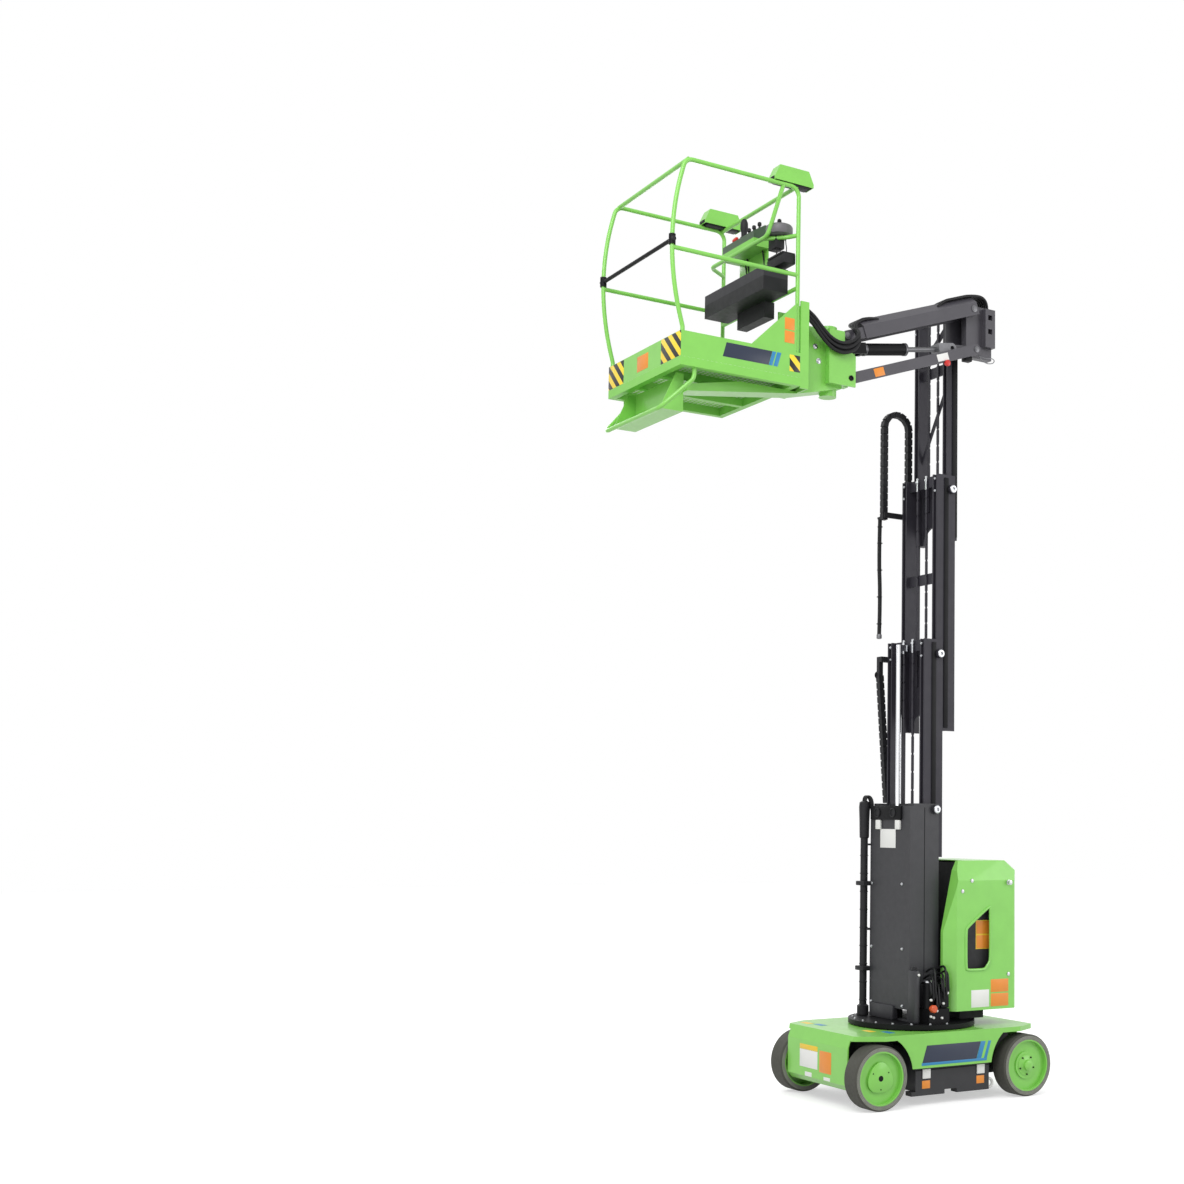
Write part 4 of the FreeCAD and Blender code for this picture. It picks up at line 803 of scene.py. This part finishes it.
@dataclass
class Chassis(Assembly):
    """Blank plates, latches and small fittings on the wheeled base."""

    body: str = "chassis"
    nose: float = 710.0
    deck: float = 430.0
    side: float = 450.0
    case: float = 418.0
    patch: Pair = (45.0, 90.0)
    case_width: float = 60.0

    def plate_work(self) -> None:
        """Blank plates on the nose, patches on the deck and the band along the near skirt."""
        self.plates(Side.FRONT, self.nose, (
            ("nose_plate", (-192, 192), (8, 298), WHITE),
            ("nose_plate_head", (-192, 299), (8, 329), YELLOW),
            ("nose_plate_orange", (30, 182), (159, 311), ORANGE),
            ("nose_tag_right", (-131, 140), (-55, 166), WHITE),
            ("nose_tag_left", (78, 140), (149, 160), WHITE),
        ))
        # Columns: name, rear x, low y, finish
        patches = (
            ("deck_patch_yellow_right", 560, -360, YELLOW),
            ("deck_patch_teal_right", 535, -245, TEAL),
            ("deck_patch_yellow_left", 440, 150, YELLOW),
            ("deck_patch_teal_left", 370, 255, TEAL),
        )
        self.plates(Side.UP, self.deck, (
            (name, (x, y), (x + self.patch[0], y + self.patch[1]), finish)
            for name, x, y, finish in patches))
        self.plates(Side.LEFT, self.side, (
            ("side_band_dark", (-168, 256), (245, 358), NAVY),
            ("side_band_teal", (-206, 256), (-170, 358), TEAL),
            ("side_band_tail", (-250, 256), (-228, 358), TEAL),
        ), lean=34)
        self.plates(Side.LEFT, self.side, (("side_band_line", (-250, 240), (250, 256), TEAL),))

    def case_latches(self) -> None:
        """Latches and blank tags on the side cases, and the pale hose stub at their rear."""
        for number, x in enumerate((163, -254), 1):
            end = x + self.case_width
            self.box(f"case_latch_{number}", (x, self.case - 1, 158), (end, self.case + 9, 216), 4,
                     WHITE)
            tag = (f"case_tag_{number}", (x, 99), (end, 146), ORANGE)
            self.plates(Side.LEFT, self.case, (tag,))
        # A black strip is painted shade along the crease of the side cases
        self.box("case_crease_shade", (-290, self.case - 1, 206), (270, self.case + 3, 212), 1, BLACK)
        self.hose("rear_hose_stub", ((-290, 392, 118), (-322, 396, 122), (-338, 398, 92),
                                     (-322, 398, 64), (-290, 394, 70)), 9, WHITE)

    def build(self) -> None:
        """Make every piece."""
        self.plate_work()
        self.case_latches()


@dataclass
class Wheel(Assembly):
    """Hub, fastenings and moulded rings of one wheel."""

    corner: str = CORNERS[0]
    hub_drop: float = 20.0
    hub: float = 88.0
    lobes: float = 0.07
    rings: Pair = (164.0, 174.0)
    ring_thick: float = 1.6

    def hub_plate(self, centre: Vector, outward: Vector) -> None:
        """Three-lobed plate over the hub, with painted shade for its spindle hole.

        Args:
            centre: Middle of the rim's hub face.
            outward: The way the wheel faces.
        """
        steps = ((self.hub, -1), (self.hub, 5), (self.hub * 0.94, 8))
        plate = Bench.turned(f"hub_plate_{self.corner}", centre, outward, steps, 36)
        Bench.lobe(plate, centre, self.lobes)
        self.fit(plate, LIME)
        # A black disc on the plate's face is painted shade for the spindle hole
        hole_shade = ((17, 3), (17, 8.6), (13, 8.6))
        self.fit(Bench.turned(f"hub_hole_{self.corner}", centre, outward, hole_shade, 24), BLACK)
        self.studs(centre, outward, 64, 3, 4)

    def dished_cap(self, centre: Vector, outward: Vector) -> None:
        """Dished cap that stands out of a steered wheel.

        Args:
            centre: Middle of the rim's hub face.
            outward: The way the wheel faces.
        """
        steps = ((66, -1), (66, 3), (46, 5), (34, 12), (31, 26), (24, 30), (10, 31))
        self.fit(Bench.turned(f"hub_cap_{self.corner}", centre, outward, steps, 36), LIME)
        self.studs(centre, outward, 56, 5, 5)

    def studs(self, centre: Vector, outward: Vector, circle: float, count: int,
              radius: float) -> None:
        """Dark bolt ends round the hub.

        Args:
            centre: Middle of the rim's hub face.
            outward: The way the wheel faces.
            circle: Radius of their circle in millimetres.
            count: How many there are.
            radius: Radius of one in millimetres.
        """
        steps = ((radius, 2), (radius, 10), (radius * 0.7, 11))
        made = []
        for number in range(count):
            turn = math.tau * (number + 0.5) / count
            foot = centre + Vector((math.sin(turn), 0, math.cos(turn))) * circle * MM
            made.append(Bench.turned("stud", foot, outward, steps, 12))
        self.fit(Bench.joined(f"hub_studs_{self.corner}", made), BLACK)

    def build(self) -> None:
        """Make every piece."""
        low, high = (Vector(c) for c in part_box(f"tyre_{self.corner}"))
        left = self.corner.endswith("left")
        outward = (Side.LEFT if left else Side.RIGHT).arrow
        middle = (low + high) / 2
        wall = Vector((middle.x, high.y if left else low.y, middle.z))
        hub_piece = self.hub_plate if self.corner.startswith("front") else self.dished_cap
        hub_piece(wall - outward * self.hub_drop * MM, outward)
        rings = [Bench.ring(wall, outward, radius, self.ring_thick) for radius in self.rings]
        self.fit(Bench.joined(f"tyre_rings_{self.corner}", rings), TYRE)


@dataclass
class Turntable(Assembly):
    """Fittings on the mast base, its front cover, the hose guide and the pump."""

    body: str = "turntable"
    cover: float = 175.0
    side: float = 215.0
    plate_top: float = 465.0
    bolt_circle: float = 370.0
    guide: Pair = (192.0, -262.0)
    pump: float = 343.0

    def cover_front(self) -> None:
        """Bolts, blank plate, clamps and head piece of the front cover."""
        spots = ((-194, 1305), (134, 1311), (-193, 905), (139, 910), (-193, 560), (144, 560))
        self.bolts("cover_bolts", [at(self.cover, y, z) for y, z in spots], Side.FRONT, 7)
        back = self.cover - 1
        self.box("cover_plate", (self.cover - PLATE_SUNK, -104, 1534), (self.cover + 2, 62, 1652),
                 PLATE_EDGE, WHITE)
        for number, y in enumerate((-142, 70), 1):
            self.box(f"cover_clamp_{number}", (back, y, 1650), (self.cover + 16, y + 50, 1710), 5,
                     WHITE)
        self.box("cover_head", (back, -200, 1712), (self.cover + 14, 130, 1799), 3, BLACK)
        eye = ((30, -1), (30, 6), (24, 8), (22, 2), (18, 1))
        for number, y in enumerate((-120, 50), 1):
            self.turn(f"cover_head_eye_{number}", (self.cover + 14, y, 1756), Side.FRONT, eye,
                      MOULDED)
        self.box("cover_foot", (149, -196, 466), (190, 60, 556), 6, MAST_GREY)

    def base_sides(self) -> None:
        """Bolts on the base's foot, and the steel bush of its chain wheel."""
        turns = [math.tau * number / 20 for number in range(20)]
        spots = [at(self.bolt_circle * math.cos(t), self.bolt_circle * math.sin(t), self.plate_top)
                 for t in turns if math.cos(t) > -0.2]
        self.bolts("plate_bolts", spots, Side.UP, 7)
        self.bush("base_bush", at(-20, self.side + 22, 1780))
        self.box("base_seam", (60, self.side - 1, 500), (64, self.side + 1.5, 1790), 0.5, BLACK)

    def guide_hoses(self) -> None:
        """Hoses clipped along the upright guide and over into the mast."""
        clips = [Bench.ring(at(*self.guide, z), Side.UP.arrow, 25, 3)
                 for z in range(560, 1600, 115)]
        self.fit(Bench.joined("guide_clips", clips), MOULDED)
        sleeve = ((25, 0), (31, 6), (33, 120), (36, 200), (33, 232), (20, 240))
        self.turn("guide_sleeve", (*self.guide, 1590), Side.UP, sleeve, MOULDED)
        shoe = ((25, 0), (38, 4), (38, 60), (25, 70))
        self.turn("guide_shoe", (*self.guide, self.plate_top), Side.UP, shoe, MOULDED)
        for name, z in (("guide_clamp_low", 748), ("guide_clamp_high", 1288)):
            self.box(name, (150, -308, z), (226, -214, z + 28), 5, MOULDED)
        x, middle = self.guide
        for number, side in enumerate((-1, 0, 1), 1):
            y = middle + 15 * side
            self.hose(f"guide_hose_{number}", (
                (x, y, 1795), (194, y, 1838), (186, y + 8, 1864), (168, y + 24, 1856),
                (162, y + 38, 1820), (156, -227 + 8 * side, 1770)), 7)

    def pump_fittings(self) -> None:
        """Caps, unions and hoses of the pump and its valve block."""
        near = self.pump
        self.turn("motor_cap", (82, 290.5, 714), Side.UP, ((34, 0), (34, 8), (28, 13), (10, 14)),
                  STEEL, 32)
        self.box("oil_reservoir", (150, 222, 464), (194, 300, 790), 14, MAST_GREY)
        self.turn("reservoir_cap", (172, 262, 789), Side.UP,
                  ((16, -1), (16, 14), (13, 18), (6, 19)), MOULDED, 20)
        self.turn("valve_handle", (98, near - 3, 560), Side.LEFT,
                  ((15, -2), (15, 14), (24, 15), (24, 34), (18, 40)), VALVE_RED, 16)
        self.box("valve_bank", (-36, 318, 562), (24, 344, 672), 4, BLACK)
        spots = ((84, near, 505), (104, near, 512), (58, near, 545), (20, near, 500),
                 (-22, 344, 650), (10, 344, 588), (166, 299, 762), (104, near, 612))
        cap = ((8, -2), (8, 8), (5, 11))
        caps = [Bench.turned("cap", at(*spot), Side.LEFT.arrow, cap, 12) for spot in spots]
        self.fit(Bench.joined("pump_unions", caps), WHITE)
        # Columns: start x, start z, top z
        runs = ((-30, 640, 770), (-14, 616, 800), (4, 600, 760), (18, 650, 735), (40, 560, 700),
                (56, 540, 660), (70, 610, 790), (86, 590, 750), (104, 630, 720))
        for number, (x, low, top) in enumerate(runs, 1):
            self.hose(f"pump_hose_{number}", (
                (x, 326, low), (x, 352, low + 16), (x + 8, 354, (low + top) / 2),
                (x - 2, 336, top), (x - 18, 280, top + 14), (x - 20, 225, top - 18)), 7)

    def build(self) -> None:
        """Make every piece."""
        self.cover_front()
        self.base_sides()
        self.guide_hoses()
        self.pump_fittings()


@dataclass
class Hood(Assembly):
    """Blank plates, window rim, knob and catches of the hood."""

    body: str = "turntable"
    side: float = 330.0
    inset: float = 290.0

    def build(self) -> None:
        """Make every piece."""
        self.plates(Side.LEFT, self.inset, (("battery_plate", (-462, 905), (-288, 1085), YELLOW),))
        self.plates(Side.LEFT, self.inset + 1, (
            ("battery_plate_upper", (-457, 1000), (-293, 1080), ORANGE),
            ("battery_plate_lower", (-457, 910), (-293, 990), ORANGE),
        ))
        self.plates(Side.LEFT, self.side, (
            ("hood_plate_upper", (-520, 636), (-378, 716), ORANGE),
            ("hood_plate_lower", (-520, 548), (-378, 628), ORANGE),
            ("hood_plate_pale", (-364, 548), (-222, 655), WHITE),
        ))
        rim = ((-180, 792), (-180, 1026), (-190, 1046), (-364, 1173), (-375, 1166), (-375, 842),
               (-366, 822), (-336, 786), (-318, 780), (-192, 780))
        self.hose("window_rim", [(x, self.side, z) for x, z in rim], 9, HOOD_LIME, closed=True)
        knob = ((16, -1), (16, 6), (11, 8), (11, 16), (15, 19), (15, 26), (9, 29))
        self.turn("hood_knob", (-520, self.side, 1322), Side.LEFT, knob, STEEL, 20)
        stop = ((12, -1), (12, 4), (7, 7))
        catches = [Bench.turned("catch", at(x, self.side, z), Side.LEFT.arrow, stop, 16)
                   for x, z in ((-150, 1270), (-225, 1335), (-520, 745))]
        self.fit(Bench.joined("hood_catches", catches), STEEL)


@dataclass
class MastStage(Assembly):
    """Bush, bolts, chain ends and painted groove shade of one sliding stage, in metres."""

    node: str = "stage_first"
    has_bush: bool = True
    bush_drop: float = 0.092
    bush_back: float = 0.115
    bolt_y: float = 0.17
    bolt_drops: Pair = (0.03, 0.11)
    anchor_y: float = 0.048
    anchor_back: float = 0.018
    anchor_drop: float = 0.05
    # Painted shade of the grooves: its span behind the front, its gap to the ends, how proud it
    # stands and the sides that carry it
    groove_shade: Pair = (0.089, 0.057)
    groove_shade_inset: float = 0.02
    groove_shade_proud: float = 0.0006
    shaded_grooves: tuple[Side, ...] = (Side.LEFT, Side.RIGHT)

    def build(self) -> None:
        """Make every piece."""
        low, high = (Vector(c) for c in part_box(self.node))
        front, top = high.x, high.z
        if self.has_bush:
            self.bush(f"{self.node}_bush",
                      Vector((front - self.bush_back, high.y, top - self.bush_drop)))
        spots = [Vector((front, side * self.bolt_y, top - drop))
                 for side in (-1, 1) for drop in self.bolt_drops]
        self.bolts(f"{self.node}_head_bolts", spots, Side.FRONT, 6)
        end = ((7, -30), (7, 25), (12, 26), (12, 38), (7, 39), (7, 58))
        ends = [Bench.turned("anchor", (front - self.anchor_back, y, top - self.anchor_drop),
                             Side.UP.arrow, end, 12) for y in (-self.anchor_y, self.anchor_y)]
        self.fit(Bench.joined(f"{self.node}_chain_anchors", ends), STEEL)
        rear, near = (front - back for back in self.groove_shade)
        # Each black strip is painted shade, laid over a groove on the stage's side
        for side in self.shaded_grooves:
            y = -low.y * side.arrow.y
            shade_strip = Bench.block(f"{self.node}_groove_{side.name.lower()}",
                                (rear, y - self.groove_shade_proud, low.z + self.groove_shade_inset),
                                (near, y + self.groove_shade_proud, top - self.groove_shade_inset), PLATE_EDGE)
            self.fit(shade_strip, BLACK)


@dataclass
class HoseLoop(Assembly):
    """Sleeve, fitting, clips and bolts of the upper hose carrier."""

    body: str = "stage_2"
    cord: Pair = (72.0, -285.0)
    clip_heights: tuple[float, ...] = (3000, 3180, 3360, 3540, 3650)

    def build(self) -> None:
        """Make every piece."""
        x, y = self.cord
        self.hose("cord_sleeve", ((x, y, 3706), (x + 7, y, 3440), (x - 7, y, 3178), (x, y, 2922)),
                  14)
        self.turn("cord_fitting", (x, y, 2930), Side.DOWN,
                  ((15, -2), (18, 4), (18, 26), (12, 30)), DULL_STEEL, 20)
        clips = [Bench.ring(at(x, y, z), Side.UP.arrow, 16, 3) for z in self.clip_heights]
        self.fit(Bench.joined("cord_clips", clips), MOULDED)
        self.bolts("loop_bolts", [at(-150, -231, z) for z in (3718, 3908)], Side.RIGHT, 6)


@dataclass
class HoseLadder(Assembly):
    """Eye of the lower hose carrier."""

    body: str = "stage_1"

    def build(self) -> None:
        """Make the eye."""
        self.turn("ladder_eye", (94, -262, 2656), Side.RIGHT,
                  ((26, -1), (26, 3), (16, 4), (14, 5)), MOULDED)


@dataclass
class Jib(Assembly):
    """Pin caps and hoses of the jib's beam, in metres but for the sag."""

    body: str = "jib_beam"
    pin_reach: float = 0.065
    hoses_abreast: int = 5
    spacing: float = 0.019
    crown: float = 0.094
    stacking: float = 0.015
    # Places behind the root pin, over which the hoses go down to the head
    over_head: tuple[Triple, ...] = (
        (-0.05, 0, 0.108), (-0.13, -0.01, 0.09), (-0.165, -0.04, 0.01), (-0.145, -0.075, -0.09))
    sag_low: Triple = (850, 415, 4556)
    # Columns: x, y and z in millimetres from the slew axis, share of the stack's shift
    sag: tuple[tuple[float, ...], ...] = (
        (722, 408, 4650, 1), (770, 415, 4590, 1), (*sag_low, 1), (935, 415, 4574, 1),
        (1010, 415, 4634, 1), (1075, 415, 4706, 0.9), (1140, 415, 4742, 0.7))

    def rows(self) -> Iterable[tuple[int, Vector]]:
        """Number and sideways shift of each hose lying abreast."""
        for number in range(self.hoses_abreast):
            across = (number - (self.hoses_abreast - 1) / 2) * self.spacing
            yield number + 1, Vector((0, across, 0))

    def between(self, name: str, route: Sequence[Point], radius: float, other: str,
                span: tuple[Point, Point]) -> None:
        """Hose that leaves the beam for another body.

        Args:
            name: The piece's name.
            route: Its control points, from the beam on.
            radius: Its radius in millimetres.
            other: The body it ends on.
            span: Not used.
        """
        hose = Bench.hose(name, route, radius)
        Bench.dress(hose, HOSE)
        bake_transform(hose)
        log.info("%s between %s and %s", name, self.body, other)

    def build(self) -> None:
        """Make every piece."""
        root, tip = joint_place("jib"), joint_place("level")
        cap = ((22, -1), (22, 5), (15, 7), (15, 10), (8, 11))
        for name, pin in (("beam_root_cap", root), ("beam_tip_cap", tip)):
            foot = pin + Vector((0, self.pin_reach, 0))
            self.fit(Bench.turned(name, foot, Side.LEFT.arrow, cap, 20), DULL_STEEL)
        along = (tip - root).normalized()
        rise = Vector((-along.z, 0, along.x))
        for number, shift in self.rows():
            top = root + rise * self.crown + shift
            lie = [top + along * 0.02, top + along * 0.12, top + along * 0.22,
                   top + along * 0.27 - rise * 0.03]
            self.fit(Bench.hose(f"root_hose_{number}", lie, 9), HOSE)
            back = [lie[0], *(root + Vector(place) + shift for place in self.over_head)]
            self.between(f"head_hose_{number}", back, 9, "stage_3",
                         (back[0], root + Vector((-0.10, 0, 0.05))))
            top = tip + rise * self.crown + shift
            start = top - along * 0.235 - rise * 0.012
            lie = [start - rise * 0.02 - along * 0.05, start, start + along * 0.06]
            self.fit(Bench.hose(f"tip_hose_{number}", lie, 10), HOSE)
            stack = Vector((0, (number % 2 - 0.5) * 0.016, -shift.y * self.stacking / self.spacing))
            sag = [lie[-1], tip - along * 0.10 + rise * 0.075 + shift,
                   at(718, 352, 4716) + (shift + stack) * 0.5,
                   *(at(*place) + stack * share for *place, share in self.sag)]
            self.between(f"basket_hose_{number}", sag, 11, "basket",
                         (tip - along * 0.06, at(*self.sag_low)))


@dataclass
class JibLink(Assembly):
    """Blank plates and the release knob on the parallel link."""

    body: str = "jib_link"
    face: float = 377.0
    lean: float = math.radians(19.78)

    def build(self) -> None:
        """Make every piece."""
        pivot = joint_place("link")
        start = Vector((pivot.x, self.face * MM, pivot.z))
        # Columns: name, distance along, length, height, finish
        rows = (("link_plate_orange", 815, 78, 52, ORANGE), ("link_plate_pale", 290, 92, 46, WHITE))
        for name, along, length, height, finish in rows:
            low = (along - length / 2, -PLATE_SUNK, -height / 2)
            high = (along + length / 2, PLATE_PROUD, height / 2)
            corners = (start + Vector([part * MM for part in corner]) for corner in (low, high))
            plate = Bench.block(name, *corners, PLATE_EDGE)
            self.fit(Bench.tilt(plate, start, self.lean), finish)
        steps = ((11, -6), (11, 8), (20, 10), (20, 24), (12, 28))
        foot = start + Vector((0.27, -0.012, -0.043))
        knob = Bench.turned("link_release", foot, Side.LEFT.arrow, steps, 20)
        self.fit(Bench.tilt(knob, start, self.lean), RED)


@dataclass
class Head(Assembly):
    """Pin cap, wire eye and latch at the head of the last stage."""

    body: str = "stage_3"
    face: float = 0.377

    def build(self) -> None:
        """Make every piece."""
        link = joint_place("link")
        steps = ((20, -1), (20, 5), (14, 7), (14, 10), (8, 11))
        cap = Bench.turned("link_pin_cap", (link.x, self.face, link.z), Side.LEFT.arrow, steps, 20)
        self.fit(cap, DULL_STEEL)
        self.hose("head_wire", (
            (-250, 352, 4722), (-262, 366, 4690), (-300, 372, 4668), (-352, 372, 4676),
            (-372, 370, 4700), (-348, 368, 4714), (-300, 366, 4700), (-258, 352, 4716)
        ), 3, DULL_STEEL)
        self.box("head_latch", (-206, 300, 4672), (-150, 344, 4706), 4, BLACK)


@dataclass
class Cylinder(Assembly):
    """Collars of the jib's cylinder."""

    body: str = "jib_barrel"
    rod_eye: Triple = (-55, 286, 4740)

    def build(self) -> None:
        """Make every piece."""
        eye = joint_place("cylinder_swing")
        along = (at(*self.rod_eye) - eye).normalized()
        collar = ((41, 0), (41, 4), (38.5, 5), (38.5, 12), (41, 13), (41, 16))
        # Columns: name, distance from the eye
        for name, distance in (("barrel_foot_collar", 108), ("barrel_neck_collar", 424)):
            foot = eye + along * distance * MM
            self.fit(Bench.turned(name, foot, along, collar, 32), DULL_STEEL)


@dataclass
class Basket(Assembly):
    """Controls, blank plates, bands, lamps and bolts of the basket."""

    body: str = "basket"
    side: float = 468.0
    front: float = 1989.0
    panel: Pair = (-228.0, 148.0)
    controls: Pair = (1262.0, 5318.0)
    drum: Pair = (1264.0, 330.0)
    lamp_y: float = 426.0

    def plate_work(self) -> None:
        """Hazard bands and blank plates on the toe boards and the gusset."""
        self.plates(Side.FRONT, self.front, (
            ("band_front_right", (-468, 4312), (-262, 4458), HAZARD),
            ("band_front_left", (225, 4312), (468, 4458), HAZARD),
        ))
        rear_band = ("band_rear_left", (1191, 4340), (1263, 4440), HAZARD_SIDE)
        self.plates(Side.LEFT, self.side, (rear_band,))
        board_plate = ("front_board_plate", (-80, 4335), (62, 4428), ORANGE)
        self.plates(Side.FRONT, self.front, (board_plate,))
        self.plates(Side.LEFT, self.side, (
            ("gusset_plate_1", (1232, 4508), (1300, 4580), ORANGE),
            ("gusset_plate_2", (1232, 4588), (1300, 4660), ORANGE),
        ))
        self.plates(Side.LEFT, self.side, (
            ("board_band_dark", (1408, 4352), (1716, 4438), NAVY),
            ("board_band_teal", (1382, 4352), (1406, 4438), TEAL),
            ("board_band_tail", (1346, 4352), (1374, 4438), TEAL),
        ), lean=24)

    def console(self) -> None:
        """Panels, stop button and levers of the console."""
        right, left = self.panel
        self.box("console_panel", (1219, right, 5326), (1257, left, 5332), 1.5, PANEL)
        slope = Bench.block("console_face", at(1257, right, 5326), at(1303, left, 5332), 1.5)
        self.fit(Bench.tilt(slope, at(1257, 0, 5327), math.radians(49)), PANEL)
        stop = ((13, -8), (13, 10), (23, 12), (23, 22), (16, 28))
        outward = Vector((0.755, 0, 0.656))
        self.fit(Bench.turned("stop_button", at(1276, -158, 5310), outward, stop, 24), RED)
        x, z = self.controls
        lever = ((24, -8), (24, 6), (18, 10), (19, 40), (25, 60), (24, 96), (16, 118), (7, 126))
        self.turn("drive_lever", (x, -96, z), Side.UP, lever, MOULDED, 20)
        toggle = ((13, -2), (13, 5), (7, 8), (7, 20), (13, 26), (12, 42), (7, 46))
        for number, y in enumerate((-34, 26, 92), 1):
            self.turn(f"toggle_{number}", (x, y, z), Side.UP, toggle, MOULDED, 16)

    def drum_side(self) -> None:
        """Drum cover with its lever, the console's apron, and the relay box with its cables."""
        lever = ((9, -6), (9, 16), (14, 20), (12, 38), (7, 42))
        self.turn("drum_lever", (*self.drum, 5266), Side.UP, lever, MOULDED, 16)
        self.box("console_apron", (1221, -205, 5075), (1227, 140, 5190), 1.5, LIME)
        rim = ((52, 8), (76, 14), (82, 24), (82, 60), (76, 70), (40, 76))
        self.turn("drum_rim", (*self.drum, 5190), Side.UP, rim, DRUM, 40)
        self.box("drum_box", (1236, 262, 5120), (1300, 350, 5197), 6, MOULDED)
        self.box("relay_box", (1212, 240, 5004), (1296, 440, 5066), 8, MOULDED)
        self.box("relay_lid", (1208, 252, 5064), (1300, 428, 5078), 5, MOULDED)
        for number, (x, y) in enumerate(((1244, 300), (1244, 372), (1290, 336)), 1):
            self.hose(f"relay_cable_{number}", (
                (x, y, 5192), (x + 4, y + 6, 5150), (x - 4, y + 10, 5110), (x, y + 4, 5076)), 3)

    def lamps(self) -> None:
        """Black lamp inserts at the ends of both visors, and the lamp bodies."""
        for name, y in (("left", self.lamp_y), ("right", -self.lamp_y)):
            for end, x in (("front", 1380), ("rear", 1110)):
                self.box(f"lamp_{name}_{end}", (x - 3, y - 30, 5494), (x + 4, y + 30, 5512), 2,
                         MOULDED)
            self.box(f"lamp_body_{name}", (1130, y - 32, 5480), (1360, y + 32, 5530), 6, MOULDED)

    def console_cables(self) -> None:
        """Cables from the console down to the cable box."""
        for number, y in enumerate((-120, -90, 95), 1):
            self.hose(f"console_cable_{number}", (
                (1240, y, 5190), (1226, y + 4, 5100), (1210, y - 6, 5010), (1196, y, 4920),
                (1200, y + 3, 4845)), 5)

    def build(self) -> None:
        """Make every piece."""
        self.plate_work()
        self.console()
        self.drum_side()
        self.lamps()
        self.console_cables()
        self.bolts("mount_bolts", [at(1010, 351, 4561), at(985, 351, 4474)], Side.LEFT, 13)
        self.turn("mount_pin_cap", (775, 395, 4392), Side.LEFT,
                  ((17, -1), (17, 4), (11, 6), (9, 1)), BLACK)


@dataclass
class Gate(Assembly):
    """End caps of the sliding bar."""

    body: str = "gate"

    def build(self) -> None:
        """Make every piece."""
        low, high = (Vector(c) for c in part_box("gate_bar"))
        middle = (low + high) / 2
        cap = ((15, -3), (15, 2), (11, 5))
        for side, y in ((Side.LEFT, high.y), (Side.RIGHT, low.y)):
            foot = Vector((middle.x, y, middle.z))
            name = f"gate_cap_{side.name.lower()}"
            self.fit(Bench.turned(name, foot, side.arrow, cap, 20), MOULDED)


def main() -> None:
    """Build the scene in order."""
    logging.basicConfig(level=logging.INFO, format="%(message)s")
    dress_nodes()
    assemblies = (
        Chassis(),
        *(Wheel(body=f"wheel_{corner}", corner=corner) for corner in CORNERS),
        Turntable(),
        Hood(),
        MastStage(body="stage_1", node="stage_first", shaded_grooves=(Side.LEFT,)),
        MastStage(body="stage_2", node="stage_second"),
        MastStage(body="stage_3", node="stage_third", groove_shade=(0.08, 0.04), has_bush=False),
        HoseLoop(),
        HoseLadder(),
        Jib(),
        JibLink(),
        Head(),
        Cylinder(),
        Basket(),
        Gate(),
        Studio(),
    )
    for assembly in assemblies:
        assembly.build()


def finish() -> None:
    """Bring the scene's placements up to date."""
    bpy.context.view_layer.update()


if __name__ == "__main__":
    main()
    finish()
